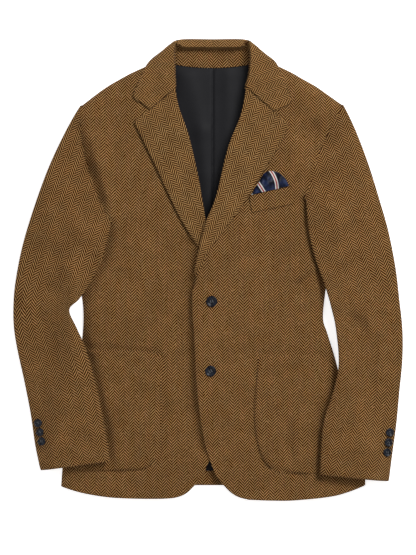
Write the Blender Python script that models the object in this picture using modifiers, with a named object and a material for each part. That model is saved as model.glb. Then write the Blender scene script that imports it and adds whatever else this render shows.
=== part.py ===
"""Suit jacket laid out flat, face up: a Blender 4.5 script, in metres, +Z up.

+X is the wearer's left, +Y runs from the hem to the collar, and the jacket lies on z = 0.
The origin is the middle of the outline, on the surface that the jacket lies on.
Tables are in millimetres. Every cloth piece is a wall on one shared set of height functions.
"""
import math

import bmesh
import bpy
from mathutils import Vector
from mathutils.geometry import delaunay_2d_cdt

MM = 0.001

# ---------------------------------------------------------------- driving sizes, in millimetres
SEAM_GAP = 0.4            # between pieces that are sewn together or lie on each other
BACK_WALL = 2.0
LINING_WALL = 1.0
FRONT_WALL = 2.5
SLEEVE_WALL = 2.2
LAPEL_WALL = 2.8
POCKET_WALL = 2.0
SIDE_ROLL = 25.0          # how far in from the side seam the front has risen to its full height
SHOULDER_ROLL = 22.0
ROLL_ROWS = (0.06, 0.2, 0.42, 0.72)   # rows of points along a rolled edge, as shares of its width
SEAM_HEIGHT = BACK_WALL + SEAM_GAP + FRONT_WALL   # outer edge of a front where it meets the back
LAP_HEIGHT = 3.4          # the left front lies this much higher where it laps the right one
BUTTON_RADIUS = 9.7
CUFF_BUTTON_RADIUS = 7.2
HEM_DEPTH = 24.0

# height of the fronts' outer face above the surface, by y
FRONT_HEIGHTS = (
    # y, height
    (-395, 15.0), (-340, 16.5), (-250, 17.5), (-100, 18.5), (0, 20.0),
    (100, 21.5), (200, 23.0), (280, 24.0), (370, 22.0),
)

# ---------------------------------------------------------------- outlines (x, y), hem to neck
SIDE_RIGHT = ((-252, -371), (-250, -342), (-246, -291), (-236, -222), (-222, -154), (-215, -109),
              (-214, -68), (-219, -26), (-221, 14), (-214, 48), (-196, 69), (-166, 80))
SIDE_LEFT = ((270, -369), (268, -342), (255, -291), (236, -222), (216, -152), (205, -109),
             (197.5, -82), (202, -34), (211, 14), (211, 62), (197, 99), (168, 120))
SHOULDER_RIGHT = ((-214, 284), (-192, 301), (-173, 314.5), (-150, 328), (-123, 342), (-66, 366))
SHOULDER_LEFT = ((229, 284), (205, 301), (185, 315), (162, 328), (137, 342), (80, 368))

# the fold line of each lapel, neck to bottom, and below it the front edge
ROLL_RIGHT = ((-58, 352), (-56, 309.5), (-49, 276), (-32.5, 229), (-17, 162), (-3.4, 84), (5, 44),
              (12, 12), (16, -6))
ROLL_LEFT = ((73.5, 354), (65, 311), (56, 265), (34, 209), (13.7, 126.5), (-3.4, 84), (-10, 60),
             (-16, 36), (-22, 10), (-25.6, -8.5))
EDGE_RIGHT = ((22, -40), (28, -90), (28, -200), (22, -262), (12, -306), (1.7, -328), (-5.6, -343),
              (-14, -357), (-24, -370), (-38, -383), (-56, -390), (-80, -392))
EDGE_LEFT = ((-27.7, -34), (-27.7, -73.5), (-25, -103), (-23, -140), (-20.5, -195), (-16, -236),
             (-9.4, -279), (-1, -313), (10, -344), (18, -358), (28, -370), (40, -381.5), (53, -389),
             (70, -393.5))
HEM_RIGHT = ((-80, -392), (-120, -391.8), (-169, -389.5), (-215, -382), (-252, -371))
HEM_LEFT = ((70, -393.5), (108, -395), (150, -394.5), (219, -386.5), (270, -369))
NECK_RIGHT = ((-66, 366), (-62.5, 352))
NECK_LEFT = ((80, 368), (78, 354))
ROLL_SETBACK = 4.6        # a front ends this far behind its lapel's fold line

# lapels: fold point and outer edge point, gorge to lower end
LAPEL_RIGHT = (
    # roll_x, roll_y, edge_x, edge_y
    (-56, 309.5, -126.5, 253), (-49, 276, -108, 215), (-32.5, 229, -84, 165), (-17, 162, -56, 105),
    (-9.5, 120, -38, 72), (-3.4, 84, -24, 50), (5, 44, -8, 28), (9, 28, 1, 17), (11, 19, 8, 12),
)
LAPEL_LEFT = (
    (65, 311, 138.5, 248), (56, 265, 122, 213), (34, 209, 88, 158), (13.7, 126.5, 54, 104),
    (-3.4, 84, 28, 69), (-10, 60, 13, 50), (-16, 36, -1, 28), (-22, 10, -13, 5), (-25, -7, -21.5, -10),
)
LAPEL_STEPS = 5

# collar: sections from the right notch round the back of the neck to the left notch.
# base is the stand's lower edge, fold its top, fall the middle of the turned-down part, edge its end
COLLAR = (
    # base x, y, z      fold x, y, z      fall x, y, z         edge x, y, z
    (-54, 312, 21,      -56, 312, 30,     -78, 294.5, 30,      -101, 275.8, 28.7),
    (-54, 318, 20,      -57, 320, 31,     -86, 303, 30.5,      -114.5, 285.5, 28.5),
    (-54.5, 330, 18,    -57.5, 332, 32,   -92, 316, 31,        -128, 296, 28.2),
    (-55, 343, 15,      -58, 346, 32,     -91, 336, 29.5,      -121, 316, 28.2),
    (-55.5, 355, 12,    -58.5, 360, 32,   -86, 358, 28.5,      -105, 352, 23),
    (-56, 366, 8,       -58, 374, 31,     -77, 374, 25,        -88, 369.5, 5),
    (-55, 375, 6,       -56.5, 388, 30,   -66, 386, 18,        -69, 381, 0),
    (-44, 376.2, 2.3,   -46, 393.5, 29,   -47, 395, 14,        -46, 383, 0),
    (8, 376.2, 2.3,     8, 393.5, 29,     8, 395.3, 14,        8, 383, 0),
    (60, 376.2, 2.3,    62, 393.5, 29,    62, 395, 14,         61, 383, 0),
    (69, 375, 6,        71, 388, 30,      80, 386, 18,         84, 381, 0),
    (70, 366, 8,        72.5, 374, 31,    91, 374, 25,         101, 369.5, 5),
    (69.5, 355, 12,     73, 360, 32,      100, 358, 28.5,      119, 352, 23),
    (69, 343, 15,       72, 346, 32,      103, 334, 29.5,      131, 317, 28.2),
    (67, 330, 18,       70, 332, 32,      104, 311, 31,        142, 287, 28.2),
    (64, 320, 20,       67, 322, 31,      96, 299, 30.5,       128, 278.5, 28.5),
    (62.5, 314, 21,     65, 314, 30,      89, 293.5, 30,       114, 271.6, 28.7),
)

# sleeves: each row is one ring, outer fold to inner fold, armhole to cuff
SLEEVE_RIGHT = (
    # outer x, y       inner x, y      bow   thickness
    (-218.5, 282,      -166, 80,       14,   23),
    (-243, 239,        -174, 46,       11,   26),
    (-272, 178,        -183, 14,       8,    26),
    (-297.5, 109,      -193, -5,       5,    25),
    (-318, 41,         -207, -31,      3,    23),
    (-330, -20.5,      -221, -51,      1,    21),
    (-333.5, -61.6,    -237, -68.4,    0,    20),
    (-332.6, -99,      -224, -99,      0,    19),
    (-326.6, -137,     -208.6, -135,   0,    19),
    (-314.6, -191.5,   -193, -191.5,   0,    19),
    (-304, -246,       -181, -246,     0,    18),
    (-296, -301,       -172, -293,     0,    17),
    (-287, -343,       -168, -327,     0,    16),
)
SLEEVE_LEFT = (
    (232, 283,         168, 120,       -9,   23),
    (253, 239,         171, 77,        -3,   26),
    (275, 181,         178, 41,        2,    26),
    (294, 120,         186, 12,        3,    25),
    (309.5, 65,        196.6, -17,     3,    23),
    (321.5, 3.4,       205, -44.5,     1,    21),
    (328, -51,         210, -63,       0,    20),
    (333.4, -102.6,    218, -99,       0,    19),
    (333.2, -154,      223, -161,      0,    19),
    (328, -209,        213, -209,      0,    19),
    (323, -263,        198, -256.5,    0,    18),
    (316, -315,        193, -308,      0,    17),
    (310, -362,        191.5, -350,    0,    16),
)
RING_POINTS = 20
RING_SQUARENESS = 2.6
DRAPE_REACH = 40.0        # the sleeve comes down to the surface over this distance from the body
DRAPE_MARGIN = 9.0
SLEEVE_CLEARANCE = 1.2
POCKET_RISE = 2.9

# pockets
HIP_POCKET_RIGHT = ((-207, -136), (-86, -144), (-80.5, -200), (-81, -300), (-89, -326), (-108, -340),
                    (-140, -343), (-215, -343), (-233, -336), (-237, -310), (-228, -240), (-214, -170))
HIP_POCKET_LEFT = ((86, -150), (200, -150), (215, -200), (231, -250), (246, -310), (244, -338),
                   (228, -348), (160, -348), (120, -346), (96, -328), (86, -300), (79, -250))
WELT = ((70.3, 127), (141, 142), (146.5, 113.5), (75.5, 98))
SQUARE = ((73, 128.3), (85, 148), (97.5, 167), (115.4, 168), (129.3, 159.5), (138.8, 143.4))
SQUARE_PUFF = 4.0

FRONT_BUTTONS = ((6.3, -53.7), (4.3, -173.0))
CUFF_BUTTONS_RIGHT = ((-289.5, -262), (-286.4, -277.5), (-283.2, -293))
CUFF_BUTTONS_LEFT = ((310.4, -278), (307.8, -295), (305.5, -312))

CLOTH = (0.153, 0.071, 0.025)
LINING = (0.033, 0.033, 0.038)
NAVY = (0.012, 0.016, 0.035)
BUTTON = (0.022, 0.024, 0.032)


# ---------------------------------------------------------------- numbers and curves
def blend(value, low, high):
    """0 below low, 1 above high, a smooth step between."""
    share = min(max((value - low) / (high - low), 0.0), 1.0)
    return share * share * (3.0 - 2.0 * share)


def read_table(table, key):
    """Straight-line reading of a table of (key, value) rows in rising order."""
    if key <= table[0][0]:
        return table[0][1]
    for (low, low_value), (high, high_value) in zip(table, table[1:]):
        if key <= high:
            return low_value + (high_value - low_value) * (key - low) / (high - low)
    return table[-1][1]


def smooth_line(points, spacing):
    """A Catmull-Rom curve through points, cut about every spacing millimetres."""
    padded = [points[0]] + list(points) + [points[-1]]
    line = [points[0]]
    for before, start, end, after in zip(padded, padded[1:], padded[2:], padded[3:]):
        steps = max(1, round(math.dist(start, end) / spacing))
        for step in range(1, steps + 1):
            t = step / steps
            line.append(tuple(
                0.5 * (2 * b + (c - a) * t + (2 * a - 5 * b + 4 * c - d) * t * t
                       + (3 * b - a - 3 * c + d) * t ** 3)
                for a, b, c, d in zip(before, start, end, after)))
    return line


def line_distance(x, y, line):
    """Distance from a point to a chain of straight pieces."""
    nearest = 1e9
    for (ax, ay), (bx, by) in zip(line, line[1:]):
        dx = bx - ax
        dy = by - ay
        share = ((x - ax) * dx + (y - ay) * dy) / (dx * dx + dy * dy)
        share = min(max(share, 0.0), 1.0)
        nearest = min(nearest, math.hypot(x - ax - share * dx, y - ay - share * dy))
    return nearest


def inside(x, y, outline):
    """Whether a point is inside a closed outline."""
    hit = False
    for (ax, ay), (bx, by) in zip(outline, outline[1:] + outline[:1]):
        if (ay > y) != (by > y) and x < (bx - ax) * (y - ay) / (by - ay) + ax:
            hit = not hit
    return hit


# ---------------------------------------------------------------- the two halves of the body
class Half:
    """The outline and heights of one side of the laid jacket."""

    def __init__(self, side, shoulder, roll, edge, hem, neck, sleeve, outward):
        self.outward = outward
        self.sleeve = sleeve
        self.side = smooth_line(side, 30)
        self.shoulder = smooth_line(shoulder, 30)
        self.armhole = self.armhole_line()
        self.roll = smooth_line(roll, 26)
        self.edge = smooth_line(edge, 22)
        self.hem = smooth_line(hem, 26)
        self.neck = list(neck)
        self.underarm_y = side[-1][1]
        self.rolled_side = self.side[:-2]
        setback = [(x + outward * ROLL_SETBACK, y) for x, y in self.roll if y < neck[-1][1] - 4]
        self.front_outline = (self.side[:-1] + self.armhole + self.shoulder[1:] + self.neck[1:]
                              + setback + self.edge + self.hem[1:-1])
        self.back_outline = (self.side[:-1] + self.armhole + self.shoulder[1:])

    def armhole_line(self):
        """Underarm to shoulder, just inside the sleeve's first ring."""
        row = self.sleeve[0]
        shares = sorted({round(ring_share(index)[0], 6) for index in range(RING_POINTS // 2 + 1)})
        line = []
        for share in reversed(shares[1:]):
            x, y = section_point(row, share, self.outward)
            clear = 1.0 + SLEEVE_WALL * (1.0 - blend(share, 0.0, 0.2))
            line.append((x - self.outward * clear, y + 0.3))
        return line + [self.shoulder[0]]

    def depth(self, x, y):
        """How far in from the side seam a point is, less than 0 outside the body."""
        away = line_distance(x, y, self.side)
        return away if inside(x, y, self.front_outline) else -away

    def height(self, x, y):
        """Outer face of the front, without the lap."""
        rise = read_table(FRONT_HEIGHTS, y) - SEAM_HEIGHT
        reach = SIDE_ROLL - 16.0 * blend(y, self.underarm_y - 50, self.underarm_y - 8)
        for away, width in ((line_distance(x, y, self.rolled_side), reach),
                            (line_distance(x, y, self.shoulder), SHOULDER_ROLL)):
            rise *= math.sqrt(1.0 - (1.0 - min(away / width, 1.0)) ** 2)
        return SEAM_HEIGHT + rise


def lap_height(x, y):
    """How much higher the left front lies than the right one."""
    over_front = LAP_HEIGHT * blend(x, 120, 42)
    over_lapel = 4.6 * math.exp(-((x - 2) / 42) ** 2) * blend(y, -40, 6) * blend(y, 190, 120)
    return over_front + over_lapel


def left_height(x, y):
    return LEFT.height(x, y) + lap_height(x, y)


def right_height(x, y):
    return RIGHT.height(x, y)


# ---------------------------------------------------------------- sleeves
def ring_share(index):
    """Place across the sleeve (0 outer fold, 1 inner fold) and lift (0 bottom, 1 top) of a ring point."""
    angle = math.tau * index / RING_POINTS
    power = 2.0 / RING_SQUARENESS
    across = 0.5 - 0.5 * math.copysign(abs(math.cos(angle)) ** power, math.cos(angle))
    lift = 0.5 + 0.5 * math.copysign(abs(math.sin(angle)) ** power, math.sin(angle))
    return across, lift


def section_point(row, share, outward):
    """A point of a ring in plan."""
    outer_x, outer_y, inner_x, inner_y, bow = row[:5]
    length = math.hypot(inner_x - outer_x, inner_y - outer_y)
    push = 4 * share * (1 - share) * bow / length
    x = outer_x + (inner_x - outer_x) * share + outward * (outer_y - inner_y) * push
    y = outer_y + (inner_y - outer_y) * share - abs(inner_x - outer_x) * push
    return x, y


def support(half, x, y):
    """Height of what a sleeve lies on."""
    over = half.depth(x, y)
    top = read_table(FRONT_HEIGHTS, y) + SLEEVE_CLEARANCE + POCKET_RISE * blend(y, -100, -130)
    return top * blend(over, -DRAPE_REACH - DRAPE_MARGIN, -DRAPE_MARGIN)


def sleeve_ring(half, row):
    ring = []
    for index in range(RING_POINTS):
        across, lift = ring_share(index)
        x, y = section_point(row, across, half.outward)
        ring.append((x, y, support(half, x, y) + lift * row[5]))
    return ring


def sleeve_rings(half):
    """A sleeve's rings, in the order that turns its faces outward."""
    rings = [sleeve_ring(half, row) for row in half.sleeve]
    return rings if half.outward > 0 else rings[::-1]


RIGHT = Half(SIDE_RIGHT, SHOULDER_RIGHT, ROLL_RIGHT, EDGE_RIGHT, HEM_RIGHT, NECK_RIGHT, SLEEVE_RIGHT, -1)
LEFT = Half(SIDE_LEFT, SHOULDER_LEFT, ROLL_LEFT, EDGE_LEFT, HEM_LEFT, NECK_LEFT, SLEEVE_LEFT, 1)


# ---------------------------------------------------------------- meshes
def new_object(name, vertices, faces, material, smooth=True):
    """A mesh object from millimetre points, with its faces made consistent."""
    mesh = bpy.data.meshes.new(name)
    mesh.from_pydata([(x * MM, y * MM, z * MM) for x, y, z in vertices], [], faces)
    piece = bpy.data.objects.new(name, mesh)
    JACKET.objects.link(piece)
    mesh.materials.append(material)
    if smooth:
        mesh.shade_smooth()
        mesh.set_sharp_from_angle(angle=math.radians(50))
    return piece


def thicken(piece, wall):
    """Give an open sheet its wall, away from its outer face."""
    solidify = piece.modifiers.new("wall", "SOLIDIFY")
    solidify.thickness = wall * MM
    solidify.offset = -1.0
    return piece


def fill_outline(outline, creases=(), rolled=(), spacing=32.0):
    """Triangles inside an outline in plan: points on a grid, and closer rows along rolled edges."""
    points = list(outline)
    edges = [(index, (index + 1) % len(outline)) for index in range(len(outline))]
    for crease in creases:
        first = len(points)
        points += crease
        edges += [(first + index, first + (index + 1) % len(crease)) for index in range(len(crease))]
    for line, width in rolled:
        for (ax, ay), (x, y), (bx, by) in zip(line, line[1:], line[2:]):
            length = math.dist((ax, ay), (bx, by))
            for depth in ROLL_ROWS:
                for sign in (-1, 1):
                    place = (x + sign * (by - ay) / length * depth * width,
                             y - sign * (bx - ax) / length * depth * width)
                    near = min(line_distance(*place, loop + loop[:1]) for loop in creases or [outline])
                    if inside(*place, outline) and (not creases or near > 3.0):
                        points.append(place)
    loops = [list(outline)] + [list(crease) for crease in creases]
    loops = [loop + loop[:1] for loop in loops]
    low_x = min(x for x, y in outline)
    low_y = min(y for x, y in outline)
    columns = int((max(x for x, y in outline) - low_x) / spacing) + 1
    rows = int((max(y for x, y in outline) - low_y) / spacing) + 1
    for row in range(rows + 1):
        for column in range(columns + 1):
            x = low_x + (column + 0.5 * (row % 2)) * spacing
            y = low_y + (row + 0.5) * spacing
            clear = min(line_distance(x, y, loop) for loop in loops)
            rolled_clear = all(line_distance(x, y, line) > 1.05 * width for line, width in rolled)
            if inside(x, y, outline) and clear > 0.4 * spacing and rolled_clear:
                points.append((x, y))
    flat, _, triangles, *_ = delaunay_2d_cdt([Vector(point) for point in points], edges, [], 0, 1e-4)
    flat = [(point.x, point.y) for point in flat]
    kept = []
    for triangle in triangles:
        x = sum(flat[index][0] for index in triangle) / 3
        y = sum(flat[index][1] for index in triangle) / 3
        (ax, ay), (bx, by), (cx, cy) = (flat[index] for index in triangle)
        area = (bx - ax) * (cy - ay) - (cx - ax) * (by - ay)
        if inside(x, y, outline) and abs(area) > 1e-3:
            kept.append(tuple(triangle) if area > 0 else tuple(reversed(triangle)))
    return flat, kept


def lifted_sheet(name, flat, triangles, height, wall, material):
    """A sheet whose outer face has the given height."""
    used = sorted({index for triangle in triangles for index in triangle})
    place = {index: number for number, index in enumerate(used)}
    vertices = [(*flat[index], height(*flat[index])) for index in used]
    faces = [[place[index] for index in triangle] for triangle in triangles]
    return thicken(new_object(name, vertices, faces, material), wall)


def slab(name, flat, triangles, bottom, top, material):
    """A closed piece between two height functions."""
    used = sorted({index for triangle in triangles for index in triangle})
    place = {index: number for number, index in enumerate(used)}
    count = len(used)
    vertices = [(*flat[index], top(*flat[index])) for index in used]
    vertices += [(*flat[index], bottom(*flat[index])) for index in used]
    faces = [[place[index] for index in triangle] for triangle in triangles]
    faces += [[place[index] + count for index in reversed(triangle)] for triangle in triangles]
    sides = {(a, b) for triangle in triangles for a, b in zip(triangle, triangle[1:] + triangle[:1])}
    for a, b in sides:
        if (b, a) not in sides:
            faces.append([place[b], place[a], place[a] + count, place[b] + count])
    return new_object(name, vertices, faces, material)


def moved_out(name, panel, outline, rise, wall, material, puff=0.0):
    """A piece that lies on a panel: the panel's own faces inside an outline, moved out."""
    mesh = panel.data
    chosen = [face for face in mesh.polygons
              if inside(face.center.x / MM, face.center.y / MM, outline)]
    used = sorted({index for face in chosen for index in face.vertices})
    place = {index: number for number, index in enumerate(used)}
    vertices = []
    for index in used:
        vertex = mesh.vertices[index]
        x, y, z = vertex.co / MM
        edge = blend(line_distance(x, y, outline + outline[:1]), 0, 14)
        vertices.append(tuple(Vector((x, y, z)) + vertex.normal * (rise + wall + puff * edge)))
    faces = [[place[index] for index in face.vertices] for face in chosen]
    return thicken(new_object(name, vertices, faces, material), wall)


def loft(name, rows, material, wall, closed=False):
    """A sheet through rows of points."""
    across = len(rows[0])
    vertices = [point for row in rows for point in row]
    faces = []
    for row in range(len(rows) - 1):
        for column in range(across if closed else across - 1):
            a = row * across + column
            b = row * across + (column + 1) % across
            faces += [(a, b, b + across), (a, b + across, a + across)]
    return thicken(new_object(name, vertices, faces, material), wall)


# ---------------------------------------------------------------- pieces
def make_material(name, color, roughness):
    material = bpy.data.materials.new(name)
    material.use_nodes = True
    shader = material.node_tree.nodes["Principled BSDF"]
    shader.inputs["Base Color"].default_value = (*color, 1.0)
    shader.inputs["Roughness"].default_value = roughness
    return material


def cloth(name):
    return make_material(name, CLOTH, 0.9)


def make_back():
    """Two flat halves, the turned-up hem, the lining and the strip inside the neck."""
    for half, name, hem_corner in ((RIGHT, "back_right", (-252, -371)), (LEFT, "back_left", (270, -369))):
        centre = half.outward * SEAM_GAP / 2
        neck_end = half.shoulder[-1]
        outline = half.back_outline + [(neck_end[0] * 0.84, 374.5), (centre, 375.8), (centre, -368)]
        outline = outline if half.outward < 0 else outline[::-1]
        flat, triangles = fill_outline(outline, spacing=90)
        slab(name, flat, triangles, lambda x, y: 0.0, lambda x, y: BACK_WALL, cloth(name))

    floor = BACK_WALL + SEAM_GAP
    hem = [(-238, -369), (0, -367.6), (256, -368), (254, -368 + HEM_DEPTH), (-237, -368 + HEM_DEPTH)]
    flat, triangles = fill_outline(hem, spacing=60)
    slab("back_hem", flat, triangles, lambda x, y: floor, lambda x, y: floor + BACK_WALL, cloth("back_hem"))

    lining_top = 349.0
    low = -368 + HEM_DEPTH + SEAM_GAP
    right = [(x + 16, y) for x, y in SIDE_RIGHT if low + 2 < y < 60]
    left = [(x - 16, y) for x, y in SIDE_LEFT if low + 2 < y < 60]
    outline = ([(-232, low), (250, low)] + left + [(150, 120), (165, 200), (190, 285), (120, 335)]
               + [(72, lining_top), (-58, lining_top), (-105, 335), (-175, 285), (-172, 200), (-150, 120)]
               + right[::-1])
    flat, triangles = fill_outline(outline, spacing=80)
    slab("back_lining", flat, triangles, lambda x, y: floor, lambda x, y: floor + LINING_WALL,
         make_material("back_lining", LINING, 0.4))

    strip = [(-54, lining_top + SEAM_GAP), (68, lining_top + SEAM_GAP), (68, 375.4), (-54, 375.4)]
    flat, triangles = fill_outline(strip, spacing=40)
    slab("back_neck_facing", flat, triangles, lambda x, y: floor, lambda x, y: floor + BACK_WALL,
         cloth("back_neck_facing"))


def make_fronts():
    """Both fronts, and the pockets, which are the fronts' own faces moved out."""
    pocket_right = smooth_line(HIP_POCKET_RIGHT + HIP_POCKET_RIGHT[:1], 26)[:-1]
    pocket_left = smooth_line(HIP_POCKET_LEFT + HIP_POCKET_LEFT[:1], 26)[:-1]
    rolled = [(RIGHT.rolled_side, SIDE_ROLL), (RIGHT.shoulder, SHOULDER_ROLL)]
    flat, triangles = fill_outline(RIGHT.front_outline, [pocket_right], rolled)
    front = lifted_sheet("front_right", flat, triangles, right_height, FRONT_WALL, cloth("front_right"))
    moved_out("hip_pocket_right", front, pocket_right, SEAM_GAP, POCKET_WALL, cloth("hip_pocket_right"))

    rolled = [(LEFT.rolled_side, SIDE_ROLL), (LEFT.shoulder, SHOULDER_ROLL)]
    loops = [pocket_left, list(WELT), list(SQUARE)]
    outline = LEFT.front_outline[::-1]
    flat, triangles = fill_outline(outline, loops, rolled)
    front = lifted_sheet("front_left", flat, triangles, left_height, FRONT_WALL, cloth("front_left"))
    moved_out("hip_pocket_left", front, pocket_left, SEAM_GAP, POCKET_WALL, cloth("hip_pocket_left"))
    moved_out("breast_pocket_welt", front, list(WELT), SEAM_GAP, POCKET_WALL, cloth("breast_pocket_welt"))
    moved_out("pocket_square", front, list(SQUARE), SEAM_GAP, POCKET_WALL,
              make_material("pocket_square", NAVY, 0.4), SQUARE_PUFF)


def make_lapel(name, table, height, outward):
    """A leaf that turns round the front's edge at the fold and lies on the front."""
    rows = []
    for index, (roll_x, roll_y, edge_x, edge_y) in enumerate(table):
        fade = 1.0 - 0.75 * blend(index, len(table) - 4, len(table) - 1)
        top = height(roll_x + outward * 6, roll_y) + SEAM_GAP + LAPEL_WALL + 2.6 * fade
        row = [(roll_x + outward * 0.6, roll_y, top - 8.5), (roll_x, roll_y, top - 3.0),
               (roll_x + outward * 1.6, roll_y - 0.3, top - 0.6)]
        for step in range(1, LAPEL_STEPS + 1):
            share = step / LAPEL_STEPS
            x = roll_x + (edge_x - roll_x) * share
            y = roll_y + (edge_y - roll_y) * share
            lift = SEAM_GAP + LAPEL_WALL + 2.6 * fade * (1 - share) ** 2 + 0.3
            row.append((x, y, height(x, y) + lift))
        rows.append(row if outward > 0 else row[::-1])
    loft(name, rows[::-1], cloth(name), LAPEL_WALL)


def make_collar():
    """Stand and fall in one strip, lying on the fronts at its ends and standing behind the neck."""
    rows = []
    for row in COLLAR:
        base, fold, fall, edge = (Vector(row[index:index + 3]) for index in (0, 3, 6, 9))
        crest = fold + (fall - fold) * 0.12 + Vector((0, 0, 0.5))
        under = fold.lerp(base, 0.22)
        rows.append([tuple(base), tuple(base.lerp(fold, 0.5)), tuple(under), tuple(fold), tuple(crest),
                     tuple(fold.lerp(fall, 0.55) + Vector((0, 0, 1.2))), tuple(fall),
                     tuple(fall.lerp(edge, 0.5) + Vector((0, 0, 0.4))), tuple(edge)])
    loft("collar", rows[::-1], cloth("collar"), LAPEL_WALL)


def make_sleeves():
    for half, name in ((RIGHT, "sleeve_right"), (LEFT, "sleeve_left")):
        loft(name, sleeve_rings(half), cloth(name), SLEEVE_WALL, closed=True)


def button_mesh(radius, thick):
    """A turned disc with a raised rim, then four thread holes."""
    profile = ((0.0, 0.62), (0.62, 0.62), (0.74, 0.98), (0.9, 1.0), (1.0, 0.6), (0.94, 0.1), (0.8, 0.0),
               (0.0, 0.0))
    mesh = bmesh.new()
    points = [mesh.verts.new((r * radius * MM, 0.0, z * thick * MM)) for r, z in profile]
    edges = [mesh.edges.new(pair) for pair in zip(points, points[1:])]
    bmesh.ops.spin(mesh, geom=points + edges, cent=(0, 0, 0), axis=(0, 0, 1), angle=math.tau, steps=14,
                   use_merge=True)
    bmesh.ops.remove_doubles(mesh, verts=mesh.verts, dist=1e-6)
    bmesh.ops.dissolve_degenerate(mesh, edges=mesh.edges, dist=1e-7)
    bmesh.ops.recalc_face_normals(mesh, faces=mesh.faces)
    data = bpy.data.meshes.new("button")
    mesh.to_mesh(data)
    mesh.free()
    return data


def hole_cutter(radius, thick):
    """Four square pins, where the thread goes through."""
    mesh = bmesh.new()
    for turn in range(4):
        angle = math.tau * (turn + 0.5) / 4
        pin = bmesh.ops.create_cube(mesh, size=1.0)["verts"]
        side = radius * 0.17 * MM
        bmesh.ops.scale(mesh, vec=(side, side, thick * 4 * MM), verts=pin)
        bmesh.ops.translate(mesh, verts=pin, vec=(radius * 0.27 * math.cos(angle) * MM,
                                                  radius * 0.27 * math.sin(angle) * MM, 0.0))
    data = bpy.data.meshes.new("thread_holes")
    mesh.to_mesh(data)
    mesh.free()
    return data


def place_button(name, radius, place, normal):
    """A four-hole button sitting just off the cloth."""
    thick = radius * 0.36
    mesh = button_mesh(radius, thick)
    mesh.shade_smooth()
    mesh.set_sharp_from_angle(angle=math.radians(40))
    piece = bpy.data.objects.new(name, mesh)
    mesh.materials.append(make_material(name, BUTTON, 0.35))
    cutter = bpy.data.objects.new(name + "_holes", hole_cutter(radius, thick))
    cutter.hide_render = True
    cutter.display_type = "WIRE"
    JACKET.objects.link(piece)
    CUTTERS.objects.link(cutter)
    turn = Vector(normal).to_track_quat("Z", "Y").to_euler()
    for item in (piece, cutter):
        item.location = Vector(place) * MM
        item.rotation_euler = turn
    cut = piece.modifiers.new("holes", "BOOLEAN")
    cut.operation = "DIFFERENCE"
    cut.object = cutter


def make_front_buttons():
    for number, (x, y) in enumerate(FRONT_BUTTONS, 1):
        place_button(f"front_button_{number}", BUTTON_RADIUS, (x, y, left_height(x, y) + 0.6), (0, 0, 1))


def sleeve_corners(rings, x, y):
    """The four corners of the sleeve's top face at a place in plan."""
    for ring, after in zip(rings, rings[1:]):
        for index in range(RING_POINTS // 2):
            corners = [Vector(point) for point in (ring[index], ring[index + 1], after[index + 1], after[index])]
            if inside(x, y, [(corner.x, corner.y) for corner in corners]):
                return corners
    raise ValueError("no sleeve there")


def sleeve_height(rings, x, y):
    """Height of a sleeve's top, from the two triangles of the face there."""
    a, b, c, d = sleeve_corners(rings, x, y)
    for first, second, third in ((a, b, c), (a, c, d)):
        if inside(x, y, [(corner.x, corner.y) for corner in (first, second, third)]):
            slope = (second - first).cross(third - first)
            return first.z - (slope.x * (x - first.x) + slope.y * (y - first.y)) / slope.z
    raise ValueError("no face there")


def make_cuff_buttons():
    """Three on each cuff, tilted with the sleeve and just off its highest point under them."""
    for half, side, places in ((RIGHT, "right", CUFF_BUTTONS_RIGHT), (LEFT, "left", CUFF_BUTTONS_LEFT)):
        rings = sleeve_rings(half)
        for number, (x, y) in enumerate(places, 1):
            corners = sleeve_corners(rings, x, y)
            normal = (corners[2] - corners[0]).cross(corners[3] - corners[1]).normalized()
            normal = normal if normal.z > 0 else -normal
            lift = 0.0
            base = sleeve_height(rings, x, y)
            for turn in range(12):
                away_x = 0.92 * CUFF_BUTTON_RADIUS * math.cos(math.tau * turn / 12)
                away_y = 0.92 * CUFF_BUTTON_RADIUS * math.sin(math.tau * turn / 12)
                plane = base - (normal.x * away_x + normal.y * away_y) / normal.z
                lift = max(lift, (sleeve_height(rings, x + away_x, y + away_y) - plane) * normal.z)
            place = Vector((x, y, base)) + normal * (lift + SEAM_GAP)
            place_button(f"cuff_button_{side}_{number}", CUFF_BUTTON_RADIUS, place, normal)


# ---------------------------------------------------------------- the model
for leftover in list(bpy.data.objects):
    bpy.data.objects.remove(leftover, do_unlink=True)
JACKET = bpy.data.collections.new("suit_jacket")
CUTTERS = bpy.data.collections.new("cutters")
bpy.context.scene.collection.children.link(JACKET)
bpy.context.scene.collection.children.link(CUTTERS)

make_back()
make_fronts()
make_lapel("lapel_right", LAPEL_RIGHT, right_height, -1)
make_lapel("lapel_left", LAPEL_LEFT, left_height, 1)
make_collar()
make_sleeves()
make_front_buttons()
make_cuff_buttons()
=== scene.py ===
"""Looks of the suit jacket laid out flat: tweed, lining, silk and buttons, in Blender 4.5.

The frame is in metres. Tables here are in millimetres, in the frame's own axes: +X is the
wearer's left, +Y runs from the hem to the collar, and z = 0 is the surface that the jacket
lies on. The outlines follow the solids' to within 3 mm. The heights start from theirs and add
folds, pressed lines and slight waves; the sleeves' heads and the collar's stand lie lower.
"""
import math

import bpy
import numpy as np
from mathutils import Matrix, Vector, noise
from mathutils.geometry import delaunay_2d_cdt


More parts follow.
